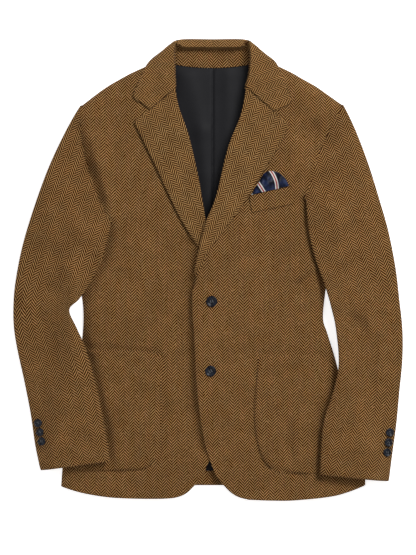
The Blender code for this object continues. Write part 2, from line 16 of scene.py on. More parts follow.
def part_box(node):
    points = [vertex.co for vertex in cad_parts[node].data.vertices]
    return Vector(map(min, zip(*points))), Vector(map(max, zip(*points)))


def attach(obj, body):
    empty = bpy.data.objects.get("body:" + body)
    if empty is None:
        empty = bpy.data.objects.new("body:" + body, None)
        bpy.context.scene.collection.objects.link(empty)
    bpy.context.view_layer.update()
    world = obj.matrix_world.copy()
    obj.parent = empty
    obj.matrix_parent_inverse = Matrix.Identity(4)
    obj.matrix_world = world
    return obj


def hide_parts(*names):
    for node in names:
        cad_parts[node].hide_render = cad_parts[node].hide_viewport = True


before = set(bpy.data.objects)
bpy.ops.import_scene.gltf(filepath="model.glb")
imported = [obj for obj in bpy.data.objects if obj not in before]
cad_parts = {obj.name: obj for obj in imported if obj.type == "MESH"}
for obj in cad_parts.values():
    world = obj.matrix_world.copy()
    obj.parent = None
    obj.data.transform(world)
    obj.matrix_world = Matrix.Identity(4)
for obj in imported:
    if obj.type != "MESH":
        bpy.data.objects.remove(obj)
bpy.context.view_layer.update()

MM = 0.001
BODY = "root"

# ---------------------------------------------------------------- driving sizes, in millimetres
SEAM_GAP = 0.4
BACK_WALL = 2.0
LINING_WALL = 1.0
FRONT_WALL = 2.5
SLEEVE_WALL = 2.2
LAPEL_WALL = 2.8
POCKET_WALL = 2.0
SIDE_ROLL = 25.0          # a front curves down to its side seam over this width
SHOULDER_ROLL = 22.0      # and to its shoulder seam over this
SEAM_HEIGHT = BACK_WALL + SEAM_GAP + FRONT_WALL
LAP_HEIGHT = 3.4          # the left front lies this much higher
BUTTON_RADIUS = 9.7
CUFF_BUTTON_RADIUS = 7.2
HEM_DEPTH = 24.0
ROLL_SETBACK = 4.6        # a front ends this far inside its lapel's fold
RING_SQUARENESS = 2.6     # power of a sleeve's section: 2 is an ellipse
DRAPE_REACH = 40.0        # beside the body a sleeve comes down over this distance
DRAPE_MARGIN = 9.0        # which starts this far from the side seam
SLEEVE_CLEARANCE = 1.2
POCKET_RISE = 2.9         # a sleeve lies this much higher over a pocket
SQUARE_PUFF = 4.0         # the silk bulges this much off the front
FRONT_WAVE = 62.0         # width of a front's soft waves
FRONT_RUFFLE = 24.0       # and of its small ones
SLEEVE_WAVE = 48.0
SLEEVE_RUFFLE = 19.0

LINE_STEP = 4.0           # spacing of points along a piece's outline
GRID_STEP = 4.4           # spacing of points inside it
GRID_RISE = 0.866         # from one line of those points to the next, as a share of their spacing
MERGE_DISTANCE = 1e-4     # points closer than this are one
EDGE_ROWS = (0.5, 1.2, 2.4, 4.0)   # rows of points inside every outline
EDGE_ROUND = 1.5          # an edge is rounded over this distance
EDGE_THIN = 0.22          # and keeps this share of the wall
SEAM_OVERLAP = 0.8        # a front reaches this far over its sleeve
SEAM_TUCK = 5.0           # a sleeve's end goes this far under the front's edge
SEAM_SINK = FRONT_WALL + 1.4   # and this far down
PRESS_DEPTH = 2.6         # the front is pressed in this much along a lapel's edge
PRESS_WIDTH = 4.5
POCKET_PRESS = (3.0, 1.1)  # half width and depth of the line round a pocket
SLEEVE_PRESS = (8.5, 7.5)  # and of the one under a sleeve's inner fold
SEAM_DROP = 1.1           # the sleeve lies this much under the front at the armhole
INNER_SLOPE = 0.68        # a sleeve thins this much toward its inner fold at the top
CAP_REACH = 60.0          # over this distance from the armhole a sleeve comes down to the front

# height of the fronts' outer face above the surface, by y
FRONT_HEIGHTS = (
    # y, height
    (-395, 15.0), (-340, 16.5), (-250, 17.5), (-100, 18.5), (0, 20.0),
    (100, 21.5), (200, 23.0), (280, 24.0), (370, 22.0),
)

# ---------------------------------------------------------------- outlines (x, y), hem to neck
SIDE_RIGHT = ((-252, -371), (-250, -342), (-246, -291), (-236, -222), (-222, -154), (-215, -109),
              (-214, -68), (-219, -26), (-221, 14), (-214, 48), (-196, 69), (-166, 80))
SIDE_LEFT = ((270, -369), (268, -342), (255, -291), (236, -222), (218.5, -153), (205, -109),
             (197.5, -82), (202, -34), (211, 14), (211, 62), (197, 99), (168, 120))
SHOULDER_RIGHT = ((-214, 284), (-192, 301), (-173, 314.5), (-150, 328), (-123, 342), (-66, 366))
SHOULDER_LEFT = ((229, 284), (205, 301), (185, 315), (162, 328), (137, 342), (80, 368))

# the fold line of each lapel, neck to bottom, and below it the front edge
ROLL_RIGHT = ((-58, 352), (-56, 309.5), (-49, 276), (-32.5, 229), (-17, 162), (-3.4, 84), (5, 44),
              (12, 12), (16, -6))
ROLL_LEFT = ((73.5, 354), (65, 311), (56, 265), (34, 209), (13.7, 126.5), (-3.4, 84), (-10, 60),
             (-16, 36), (-22, 10), (-25.6, -8.5))
EDGE_RIGHT = ((22, -40), (28, -90), (28, -200), (22, -262), (12, -306), (1.7, -328), (-5.6, -343),
              (-14, -357), (-24, -370), (-38, -383), (-56, -390), (-80, -392))
EDGE_LEFT = ((-27.7, -34), (-27.7, -73.5), (-25, -103), (-23, -140), (-20.5, -195), (-16, -236),
             (-9.4, -279), (-1, -313), (10, -344), (18, -358), (28, -370), (40, -381.5), (53, -389),
             (70, -393.5))
HEM_RIGHT = ((-80, -392), (-120, -391.8), (-169, -389.5), (-215, -382), (-252, -371))
HEM_LEFT = ((70, -393.5), (108, -395), (150, -394.5), (219, -386.5), (270, -369))
NECK_RIGHT = ((-66, 366), (-62.5, 352))
NECK_LEFT = ((80, 368), (78, 354))

# lapels: fold point and outer edge point, gorge to lower end
LAPEL_RIGHT = (
    # roll_x, roll_y, edge_x, edge_y
    (-56, 309.5, -126.5, 253), (-49, 276, -108, 215), (-32.5, 229, -84, 165), (-17, 162, -56, 105),
    (-9.5, 120, -38, 72), (-3.4, 84, -24, 50), (5, 44, -8, 28), (9, 28, 1, 17), (11, 19, 8, 12),
)
LAPEL_LEFT = (
    (65, 311, 138.5, 248), (56, 265, 122, 213), (34, 209, 88, 158), (13.7, 126.5, 54, 104),
    (-3.4, 84, 28, 69), (-10, 60, 13, 50), (-16, 36, -1, 28), (-22, 10, -13, 5), (-25, -7, -21.5, -10),
)

# collar: sections from the right notch round the back of the neck to the left notch.
# base is the stand's lower edge, fold its top, fall the middle of the turned-down part, edge its end
COLLAR = (
    # base x, y, z      fold x, y, z      fall x, y, z         edge x, y, z
    (-54, 312, 21, -56, 312, 30, -78, 294.5, 30, -101, 275.8, 28.7),
    (-54, 318, 20, -57, 320, 31, -86, 303, 30.5, -114.5, 285.5, 28.5),
    (-54.5, 330, 18, -57.5, 332, 32, -92, 316, 31, -128, 296, 28.2),
    (-55, 343, 15, -58, 346, 32, -91, 336, 29.5, -121, 316, 28.2),
    (-55.5, 355, 12, -58.5, 360, 32, -86, 358, 28.5, -105, 352, 23),
    (-56, 366, 8, -58, 374, 31, -77, 374, 25, -88, 369.5, 5),
    (-55, 375, 6, -56.5, 388, 30, -66, 386, 18, -69, 381, 0),
    (-44, 376.2, 2.3, -46, 393.5, 29, -47, 395, 14, -46, 383, 0),
    (8, 376.2, 2.3, 8, 393.5, 29, 8, 395.3, 14, 8, 383, 0),
    (60, 376.2, 2.3, 62, 393.5, 29, 62, 395, 14, 61, 383, 0),
    (69, 375, 6, 71, 388, 30, 80, 386, 18, 84, 381, 0),
    (70, 366, 8, 72.5, 374, 31, 91, 374, 25, 101, 369.5, 5),
    (69.5, 355, 12, 73, 360, 32, 100, 358, 28.5, 119, 352, 23),
    (69, 343, 15, 72, 346, 32, 103, 334, 29.5, 131, 317, 28.2),
    (67, 330, 18, 70, 332, 32, 104, 311, 31, 142, 287, 28.2),
    (64, 320, 20, 67, 322, 31, 96, 299, 30.5, 128, 278.5, 28.5),
    (62.5, 314, 21, 65, 314, 30, 89, 293.5, 30, 114, 271.6, 28.7),
)

# sleeves: each row is one ring, outer fold to inner fold, armhole to cuff
SLEEVE_RIGHT = (
    # outer x, y       inner x, y      bow   thickness
    (-218.5, 282, -166, 80, 14, 23),
    (-243, 239, -174, 46, 11, 26),
    (-272, 178, -183, 14, 8, 26),
    (-297.5, 109, -193, -5, 5, 25),
    (-318, 41, -207, -31, 3, 23),
    (-330, -20.5, -221, -51, 1, 21),
    (-333.5, -61.6, -237, -68.4, 0, 20),
    (-332.6, -99, -224, -99, 0, 19),
    (-326.6, -137, -208.6, -135, 0, 19),
    (-314.6, -191.5, -193, -191.5, 0, 19),
    (-304, -246, -181, -246, 0, 18),
    (-296, -301, -172, -293, 0, 17),
    (-287, -343, -168, -327, 0, 16),
)
SLEEVE_LEFT = (
    (232, 283, 168, 120, -9, 23),
    (253, 239, 171, 77, -3, 26),
    (275, 181, 178, 41, 2, 26),
    (294, 120, 186, 12, 3, 25),
    (309.5, 65, 196.6, -17, 3, 23),
    (321.5, 3.4, 205, -44.5, 1, 21),
    (328, -51, 210, -63, 0, 20),
    (333.4, -102.6, 218, -99, 0, 19),
    (333.2, -154, 223, -161, 0, 19),
    (328, -209, 213, -209, 0, 19),
    (323, -263, 198, -256.5, 0, 18),
    (316, -315, 193, -308, 0, 17),
    (310, -362, 191.5, -350, 0, 16),
)
RING_POINTS = 104
ROW_SPACING = 6.5         # between a sleeve's fine rings

# pockets
HIP_POCKET_RIGHT = ((-207, -136), (-86, -144), (-80.5, -200), (-81, -300), (-89, -326), (-108, -340),
                    (-140, -343), (-215, -343), (-233, -336), (-237, -310), (-228, -240), (-214, -170))
HIP_POCKET_LEFT = ((86, -150), (200, -150), (215, -200), (231, -250), (246, -310), (244, -338),
                   (228, -348), (160, -348), (120, -346), (96, -328), (86, -300), (79, -250))
WELT = ((70.3, 127), (141, 142), (146.5, 113.5), (75.5, 98))
SQUARE = ((73, 128.3), (85, 148), (97.5, 167), (115.4, 168), (129.3, 159.5), (138.8, 143.4))

# ---------------------------------------------------------------- folds listed one by one
# each row is a soft ridge (+) or trough (-) along a straight stretch
FOLDS_RIGHT = (
    # x0, y0, x1, y1, half width, height
    (-152, 232, -160, 216, 26, -6.3),    # hollow of the chest
    (-198, 225, -170, 125, 11, 7.0),    # ridge beside the armhole
    (-224, 236, -208, 177, 11, -7.7),    # crease along the armhole
    (-208, 177, -186, 122, 11, -9.1),
    (-172, 125, -160, 70, 12, 3.6),
    (-140, 60, -186, 20, 14, -3.4),    # drag from the underarm
    (-90, 60, -94, -40, 4.5, -2.5),    # dart
    (-40, 210, -120, 60, 30, 3.1),
    (-130, -20, -180, -90, 26, 2.8),
    (-207, -131, -88, -139, 4.5, -4.2),    # above the pocket's mouth
    (-77, -150, -76, -310, 4.5, -1.6),    # beside the pocket
    (-60, -80, -70, -300, 26, 2.2),
    (-150, -360, -90, -380, 18, -2.0),
)
FOLDS_LEFT = (
    (187, 236, 201, 216, 20, -7.0),    # hollow of the shoulder
    (160, 262, 176, 234, 18, -3.4),
    (150, 196, 138, 160, 15, 4.5),
    (183, 5, 157, -12, 7, 4.8),    # drag fold from the side
    (157, -12, 128, -34, 7, 3.9),
    (176, -8, 150, -26, 7, -3.6),
    (50, 62, 50, -50, 4.5, -2.4),    # darts
    (108, 68, 110, 5, 4.5, -2.5),
    (40, -150, 52, -300, 24, 2.5),
    (200, -100, 160, -130, 20, 2.2),
    (95, -143, 192, -143, 4.5, -3.0),    # above the pocket's mouth
    (136, -262, 141, -318, 8, -6.0),    # hollow of the pocket
    (152, -255, 155, -320, 8, 2.4),
    (-18, -30, -12, -230, 12, 4.2),    # the front's edge stands off the right one
)

# lines pressed in: the points of the line, its half width and its depth
SUNK_RIGHT = (
    # beside the left front's edge, and under the pocket
    (((-34, 44), (-35, -60), (-30, -210), (-15, -305)), 12.0, 9.0),
    (((-82, -300), (-88, -328), (-110, -344), (-150, -347), (-215, -347)), 4.5, 2.8),
)
SUNK_LEFT = (
    # round the pocket, and where the sleeve is sewn on
    (((82, -158), (74, -250), (81, -304), (98, -336), (165, -355)), 4.5, 3.2),
    (((184, 240), (172, 196), (167, 150), (166, 112)), 8.5, 4.6),
)


# ---------------------------------------------------------------- numbers of single pieces
BACK_HEM_Y = -368.0
BACK_CUT = (292.0, 747.0)
HEM_CUT = (494.0, 25.0)
NECK_FACING_CUT = (130.0, 32.0)
LINING_CUT = (500.0, 702.0)
LINING_PUFF = 2.2         # the lining stands this much off the back in the neck opening
LINING_SEAM = 8.5         # x of its seam
SEAM_GROOVE = 2.6         # depth of that seam
LINING_INSET = 16.0       # from the side seams to the lining's edge
LINING_LEFT = ((150, 120), (165, 200), (190, 285), (120, 335))      # its corners above the sides
LINING_RIGHT = ((-105, 335), (-175, 285), (-172, 200), (-150, 120))
NECK_MIDDLE = 7.0         # the lower edge of the strip inside the neck: x of its middle,
NECK_REACH = 65.0         # half its width,
NECK_EDGE = 349.0         # its mean y
NECK_SAG = 3.0            # and how far it sags
NECK_SEAM = 378.0         # the strip inside the neck ends just under the stand
LINING_FOLDS = (
    # x0, y0, x1, y1, half width, height
    (-34, 330, -10, 240, 15, 2.2),
    (-10, 240, 0, 120, 12, 1.8),
    (34, 345, 34, 170, 12, 2.0),
    (58, 300, 46, 200, 9, 1.0),
)

FRONT_CUT = (330.0, 790.0)
HIP_POCKET_CUT = (172.0, 212.0)
POCKET_SHIFT = (3.2, 2.4)  # a pocket's threads don't meet the front's
POCKET_FOLDS_RIGHT = (
    (-205, -140, -88, -148, 5, 4.0),
    (-120, -330, -200, -335, 10, -0.6),
)
POCKET_FOLDS_LEFT = (
    (95, -155, 200, -155, 7, 1.0),
)

WELT_CUT = (74.0, 31.0)
WELT_LIFT = 0.6
SQUARE_CUT = (66.0, 46.0)
SQUARE_FOLDS = (
    (100, 158, 107, 150, 5, 2.2),
    (106, 153, 110, 147, 4, -2.6),
    (124, 160, 122, 140, 4, 2.2),
    (92, 142, 84, 132, 5, 1.4),
    (97, 152, 92, 134, 3, -2.0),
    (117, 166, 116, 140, 3, -1.4),
)

EDGE_LIFT = 0.9           # a lapel's outer edge stands this much off the front
ROLL_PUFF = 2.6           # and its fold this much
LAPEL_SHARES = (0.2, 0.4, 0.6, 0.8, 1.0)
LAPEL_COUNTS = (5, 4, 5, 5, 5, 6, 8)
LAPEL_CUT = (150.0, 330.0)
LAPEL_GRAIN = 29.0        # degrees that a lapel's threads lean out

COLLAR_COUNTS = (4, 4, 4, 4, 5, 5, 6, 8)
COLLAR_CUT = (560.0, 86.0)
COLLAR_GRAIN = (90.0, -72.0)    # degrees that the threads turn on the collar's right and left leaves
COLLAR_SEAM = ((-54.0, 389.5), (68.0, 390.0))   # where the leaves' threads meet the strip's
STAND_EASE = 0.25         # the stand is lower by this share at the back of the neck
FOLD_ROLL = 12.5          # and the fold's top rolls this far in toward the neck
COLLAR_LEAF = 79.0        # length of a leaf along the fold
GORGE_TUCK = 3.4          # the collar's ends go this far under the lapels' upper edges

SLEEVE_CUT = (330.0, 690.0)
SLEEVE_FOLDS_RIGHT = (
    (-186, 122, -176, 95, 9, -4.8),
    (-231, 46, -253, 26, 15, -5.8),    # hollow at the upper arm
    (-255, 4, -262, -40, 22, 3.5),
    (-287, -86, -270, -131, 12, -4.8),    # elbow
    (-300, -70, -290, -130, 10, 2.2),
    (-255, 215, -285, 130, 16, 2.2),
    (-240, -200, -235, -290, 9, 1.4),
    (-205, -160, -195, -260, 9, -1.6),
    (-230, 90, -270, 60, 18, 2.6),
)
SLEEVE_FOLDS_LEFT = (
    (224, 248, 206, 157, 12, 4.5),    # soft ridge down the sleeve head
    (252, -86, 262, -95, 9, -7.5),    # elbow fold
    (246, -40, 250, -62, 10, 3.3),
    (277, -80, 278, -104, 7, 3.9),
    (262, -104, 240, -150, 12, -2.4),
    (296, -140, 290, -225, 6, 2.2),
    (283, -150, 279, -230, 6, -2.0),
    (270, 120, 262, 40, 18, 2.4),
    (240, 60, 258, 0, 14, -2.4),
)


# ---------------------------------------------------------------- numbers and curves
def blend(values, low, high):
    """0 below low, 1 above high, a smooth step between."""
    share = np.clip((np.asarray(values, float) - low) / (high - low), 0.0, 1.0)
    return share * share * (3.0 - 2.0 * share)


def curve_point(a, b, c, d, t):
    """A Catmull-Rom curve's value or place at share t of the way from b to c."""
    return 0.5 * (2 * b + (c - a) * t + (2 * a - 5 * b + 4 * c - d) * t * t
                  + (3 * b - a - 3 * c + d) * t ** 3)


def smooth_line(points, spacing=LINE_STEP):
    """A Catmull-Rom curve through points, cut about every spacing millimetres."""
    points = [tuple(map(float, point)) for point in points]
    padded = [points[0]] + points + [points[-1]]
    line = [points[0]]
    for before, start, end, after in zip(padded, padded[1:], padded[2:], padded[3:]):
        steps = max(1, round(math.dist(start[:3], end[:3]) / spacing))
        for step in range(1, steps + 1):
            line.append(tuple(curve_point(*values, step / steps)
                              for values in zip(before, start, end, after)))
    return line


def closed_line(points, spacing=LINE_STEP):
    """A smooth closed loop through points."""
    return smooth_line(tuple(points) + tuple(points[:1]), spacing)[:-1]


def straight_line(points, spacing=LINE_STEP):
    """A chain of straight pieces, cut about every spacing millimetres."""
    line = []
    for start, end in zip(points, points[1:]):
        steps = max(1, round(math.dist(start, end) / spacing))
        line += [(start[0] + (end[0] - start[0]) * step / steps,
                  start[1] + (end[1] - start[1]) * step / steps) for step in range(steps)]
    return line + [tuple(points[-1])]


def straight_loop(points, spacing=LINE_STEP):
    """A closed loop of straight sides, cut about every spacing millimetres."""
    return straight_line(list(points) + [points[0]], spacing)[:-1]


def line_distance(places, line):
    """Distance from each place to a chain of straight pieces."""
    line = np.asarray(line, float)
    nearest = np.full(len(places), 1e9)
    for start, end in zip(line[:-1], line[1:]):
        along = end - start
        offset = places - start
        share = np.clip(offset @ along / max(along @ along, 1e-9), 0.0, 1.0)
        nearest = np.minimum(nearest, np.hypot(*(offset - share[:, None] * along).T))
    return nearest


def inside(places, outline):
    """Whether each place is inside a closed outline."""
    hit = np.zeros(len(places), bool)
    x, y = places.T
    outline = list(outline)
    for (ax, ay), (bx, by) in zip(outline, outline[1:] + outline[:1]):
        if ay == by:
            continue
        crossed = (ay > y) != (by > y)
        hit ^= crossed & (x < (bx - ax) * (y - ay) / (by - ay) + ax)
    return hit


def fold_height(places, folds):
    """Sum of the soft ridges and troughs of a table at each place."""
    height = np.zeros(len(places))
    for x0, y0, x1, y1, width, depth in folds:
        away = line_distance(places, ((x0, y0), (x1, y1)))
        height += depth * np.exp(-(away / width) ** 2)
    return height


def ripple(places, size, seed):
    """Smooth noise between about -1 and 1, with hills about size millimetres wide."""
    return np.array([noise.noise(Vector((x / size, y / size, seed))) for x, y in places])


# ---------------------------------------------------------------- the two halves of the body
def ring_share(angle):
    """Place across the sleeve (0 outer fold, 1 inner fold) and lift (0 bottom, 1 top)."""
    power = 2.0 / RING_SQUARENESS
    across = 0.5 - 0.5 * math.copysign(abs(math.cos(angle)) ** power, math.cos(angle))
    lift = 0.5 + 0.5 * math.copysign(abs(math.sin(angle)) ** power, math.sin(angle))
    return across, lift


def section_point(row, share, outward):
    """A point of a ring in plan."""
    outer_x, outer_y, inner_x, inner_y, bow = row[:5]
    length = math.hypot(inner_x - outer_x, inner_y - outer_y)
    push = 4 * share * (1 - share) * bow / length
    x = outer_x + (inner_x - outer_x) * share + outward * (outer_y - inner_y) * push
    y = outer_y + (inner_y - outer_y) * share - abs(inner_x - outer_x) * push
    return x, y


class Half:
    """The outline and heights of one side of the laid jacket."""

    def __init__(self, outward, side, shoulder, roll, edge, hem, neck, sleeve, folds, presses, seam_press):
        self.outward = outward
        self.sleeve = sleeve
        self.folds = folds
        self.side = smooth_line(side)
        self.shoulder = smooth_line(shoulder)
        self.armhole = self.armhole_line()
        inner_fold = smooth_line([row[2:4] for row in sleeve], 12.0)
        self.presses = presses + ((self.armhole[::3], *seam_press), (inner_fold, *SLEEVE_PRESS))
        self.underarm_y = side[-1][1]
        self.rolled_side = self.side[:self.side.index(tuple(map(float, side[-3]))) + 1]
        setback = [(x + outward * ROLL_SETBACK, y) for x, y in smooth_line(roll) if y < neck[-1][1] - 4]
        self.back_outline = self.side[:-1] + self.armhole + self.shoulder[1:]
        self.front_outline = (self.back_outline + smooth_line(neck)[1:] + setback + smooth_line(edge)
                              + smooth_line(hem)[1:-1])

    def armhole_line(self):
        """Underarm to shoulder, just over the sleeve's first ring."""
        row = self.sleeve[0]
        line = []
        for step in range(RING_POINTS // 2, 0, -1):
            share = 2 * step / RING_POINTS
            x, y = section_point(row, share, self.outward)
            clear = 1.0 - (1.0 + SEAM_OVERLAP) * blend(share, 1.02, 0.97)
            line.append((x - self.outward * float(clear), y + 0.3))
        return line + [self.shoulder[0]]

    def depth(self, places):
        """How far in from the side seam each place is, less than 0 outside the body."""
        away = line_distance(places, self.side)
        return np.where(inside(places, self.front_outline), away, -away)

    def plain_height(self, places):
        """Outer face of the front without folds."""
        y = places[:, 1]
        rise = np.interp(y, *zip(*FRONT_HEIGHTS)) - SEAM_HEIGHT
        reach = SIDE_ROLL - 16.0 * blend(y, self.underarm_y - 50, self.underarm_y - 8)
        for away, width in ((line_distance(places, self.rolled_side), reach),
                            (line_distance(places, self.shoulder), SHOULDER_ROLL)):
            rise = rise * np.sqrt(1.0 - (1.0 - np.minimum(away / width, 1.0)) ** 2)
        return SEAM_HEIGHT + rise

    def height(self, places):
        """Outer face of the front: the laid form, its folds and a slight unevenness."""
        places = np.atleast_2d(places)
        near_seam = np.minimum(line_distance(places, self.rolled_side),
                               line_distance(places, self.shoulder))
        calm = blend(near_seam, 2, 22)
        pressed = sum(depth * np.exp(-(line_distance(places, line) / width) ** 2)
                      for line, width, depth in self.presses)
        waves = (ripple(places, FRONT_WAVE, 3.0 + self.outward)
                 + 0.4 * ripple(places, FRONT_RUFFLE, 9.0))
        return self.plain_height(places) + calm * (fold_height(places, self.folds) + waves) - pressed


def lap_height(places):
    """How much higher the left front lies than the right one."""
    x, y = places.T
    over_front = LAP_HEIGHT * blend(x, 120, 42)
    over_lapel = 4.6 * np.exp(-((x - 2) / 42) ** 2) * blend(y, -40, 6) * blend(y, 190, 120)
    return over_front + over_lapel


def pressed_lines(lapel, pocket):
    """Where what lies on a front presses it in: a lapel's edge and a pocket's edge."""
    edge = smooth_line([row[2:4] for row in lapel], 6.0)
    loop = closed_line(pocket, 8.0)
    return ((edge, PRESS_WIDTH, PRESS_DEPTH), (loop + loop[:1], *POCKET_PRESS))


RIGHT = Half(-1, SIDE_RIGHT, SHOULDER_RIGHT, ROLL_RIGHT, EDGE_RIGHT, HEM_RIGHT, NECK_RIGHT, SLEEVE_RIGHT,
             FOLDS_RIGHT, pressed_lines(LAPEL_RIGHT, HIP_POCKET_RIGHT) + SUNK_RIGHT, (6.0, 1.0))
LEFT = Half(1, SIDE_LEFT, SHOULDER_LEFT, ROLL_LEFT, EDGE_LEFT, HEM_LEFT, NECK_LEFT, SLEEVE_LEFT,
            FOLDS_LEFT, pressed_lines(LAPEL_LEFT, HIP_POCKET_LEFT) + SUNK_LEFT, (8.0, 2.6))


def right_height(places):
    """Outer face of the right front."""
    return RIGHT.height(places)


def left_height(places):
    """Outer face of the left front, which lies over the right one."""
    places = np.atleast_2d(places)
    return LEFT.height(places) + lap_height(places)


# ---------------------------------------------------------------- sleeves
def sleeve_support(half, places):
    """Height of what a sleeve lies on."""
    over = half.depth(places)
    y = places[:, 1]
    top = np.interp(y, *zip(*FRONT_HEIGHTS)) + SLEEVE_CLEARANCE + POCKET_RISE * blend(y, -100, -130)
    return top * blend(over, -DRAPE_REACH - DRAPE_MARGIN, -DRAPE_MARGIN)


def sleeve_surface(half, folds):
    """Rings of the outer face (rings x points x 3) and their grain (rings x points x 2)."""
    rows = smooth_line(half.sleeve, ROW_SPACING)
    middle = smooth_line([((row[0] + row[2]) / 2, (row[1] + row[3]) / 2)
                          for row in half.sleeve[::3]], 6.0)
    shares = [ring_share(math.tau * index / RING_POINTS) for index in range(RING_POINTS)]
    across = np.array([share for share, lift in shares])
    lift = np.array([lift for share, lift in shares])
    rings = []
    for row in rows:
        plan = np.array([section_point(row, share, half.outward) for share in across])
        bottom = sleeve_support(half, plan)
        upper = blend(lift, 0.5, 0.95)
        relief = fold_height(plan, folds) + unevenness(plan)
        away = line_distance(plan, half.armhole)
        cap = 1.0 - blend(away, 0, CAP_REACH)
        sewn = half.height(plan) - SEAM_DROP
        seat = cap * blend(plan[:, 1], half.underarm_y - 18, half.underarm_y + 20)
        slope = INNER_SLOPE * blend(across, 0.3, 1.0) * blend(plan[:, 1], -80, 40)
        full = np.where(lift > 0.5, np.clip(4 * lift - 1.5, 0.5, 1.0), lift)
        loose = bottom + lift * row[5] * (1 - slope) + relief * upper
        height = loose * (1 - seat) + sewn * (0.35 + 0.65 * full) * seat
        if not rings:
            rings.append(tucked_ring(half, row, plan, height - SEAM_SINK * upper))
        rings.append(np.column_stack([plan, height]))
    rings = np.array(rings)
    grain = line_grain(rings[:, :, :2].reshape(-1, 2), middle)
    return rings, grain.reshape(rings.shape[0], RING_POINTS, 2)


def unevenness(places):
    """Slight waves and ruffles of a sleeve's upper side."""
    return 1.2 * ripple(places, SLEEVE_WAVE, 21.0) + 0.5 * ripple(places, SLEEVE_RUFFLE, 27.0)


def tucked_ring(half, row, plan, height):
    """The sleeve's first ring moved in under the front's edge."""
    chord = np.array(row[2:4]) - np.array(row[0:2])
    tuck = np.array([chord[1], -chord[0]]) * half.outward / np.linalg.norm(chord)
    tuck = tuck * SEAM_TUCK * math.copysign(1.0, -half.outward * tuck[0])
    return np.column_stack([plan + tuck, height])


def line_grain(places, line):
    """Distance off a line and along it, for threads that follow the line."""
    line = np.asarray(line)
    best = np.full(len(places), 1e9)
    grain = np.zeros((len(places), 2))
    walked = 0.0
    for number, (start, end) in enumerate(zip(line[:-1], line[1:])):
        length = np.linalg.norm(end - start)
        along = (end - start) / length
        offset = places - start
        share = offset @ along
        low = -1e9 if number == 0 else 0.0
        high = 1e9 if number == len(line) - 2 else length
        share = np.clip(share, low, high)
        away = np.hypot(*(offset - share[:, None] * along).T)
        side = offset[:, 0] * -along[1] + offset[:, 1] * along[0]
        nearer = away < best
        grain[nearer] = np.column_stack([np.sign(side) * away, -(walked + share)])[nearer]
        best = np.minimum(best, away)
        walked += length
    return grain


def turned_grain(places, degrees):
    """Threads along +Y, turned by an angle; positive leans them to -X."""
    angle = math.radians(degrees)
    x, y = np.asarray(places).T
    return np.column_stack([x * math.cos(angle) + y * math.sin(angle),
                            y * math.cos(angle) - x * math.sin(angle)])


# ---------------------------------------------------------------- meshes
def new_mesh(name, vertices, faces, grain):
    """A mesh from millimetre points, with a map of the cloth's grain in metres on its faces."""
    mesh = bpy.data.meshes.new(name)
    mesh.from_pydata((np.asarray(vertices) * MM).tolist(), [], faces)
    corners = np.empty(len(mesh.loops), np.int32)
    mesh.loops.foreach_get("vertex_index", corners)
    layer = mesh.uv_layers.new(name="grain")
    layer.data.foreach_set("uv", (np.asarray(grain)[corners] * MM).ravel())
    mesh.shade_smooth()
    return mesh


def new_object(name, data, collection):
    """An object put into a collection."""
    item = bpy.data.objects.new(name, data)
    collection.objects.link(item)
    return item


def vertex_normals(vertices, faces):
    """Unit normals of an open sheet."""
    mesh = bpy.data.meshes.new("normals")
    mesh.from_pydata(np.asarray(vertices).tolist(), [], faces)
    normals = np.empty(len(vertices) * 3)
    mesh.vertex_normals.foreach_get("vector", normals)
    bpy.data.meshes.remove(mesh)
    return normals.reshape(-1, 3)


def open_edges(faces):
    """Directed edges that only one face has."""
    sides = {(a, b) for face in faces for a, b in zip(face, face[1:] + face[:1])}
    return [(a, b) for a, b in sides if (b, a) not in sides]


def edge_distance(vertices, rim):
    """Distance from each vertex to the nearest point of the rim, up to 8 mm."""
    rim_points = vertices[sorted({index for edge in rim for index in edge})]
    nearest = np.full(len(vertices), 8.0)
    for start in range(0, len(vertices), 2000):
        part = vertices[start:start + 2000]
        away = np.linalg.norm(part[:, None, :] - rim_points[None, :, :], axis=2).min(axis=1)
        nearest[start:start + 2000] = np.minimum(away, 8.0)
    return nearest


def cloth_piece(name, vertices, faces, grain, wall, cloth, cut):
    """A closed wall under an outer face, with rounded edges, that stands for the sheet of that name."""
    vertices = np.asarray(vertices, float)
    faces = [list(map(int, face)) for face in faces]
    normals = vertex_normals(vertices, faces)
    rim = open_edges(faces)
    away = np.minimum(edge_distance(vertices, rim) / EDGE_ROUND, 1.0)
    full = EDGE_THIN + (1.0 - EDGE_THIN) * np.sqrt(1.0 - (1.0 - away) ** 2)
    inset = (wall / 2 * (1.0 - full))[:, None]
    outer = vertices - normals * inset
    inner = vertices - normals * (wall - inset)
    count = len(vertices)
    closed = faces + [[index + count for index in reversed(face)] for face in faces]
    closed += [[b, a, a + count, b + count] for a, b in rim]
    mesh = new_mesh(name, np.vstack([outer, inner]), closed, np.vstack([grain, grain]))
    material, slot = cloth
    mesh.materials.append(material)
    piece = new_object(name + "_cloth", mesh, JACKET)
    width, length = cut
    area = min(sheet_area(vertices, faces), width * length)
    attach(piece, BODY)
    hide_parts(name)


def sheet_area(vertices, faces):
    """Area of an open sheet in square millimetres."""
    triangles = np.array([(face[0], face[k], face[k + 1])
                          for face in faces for k in range(1, len(face) - 1)])
    a, b, c = (vertices[triangles[:, k]] for k in range(3))
    return 0.5 * float(np.linalg.norm(np.cross(b - a, c - a), axis=1).sum())


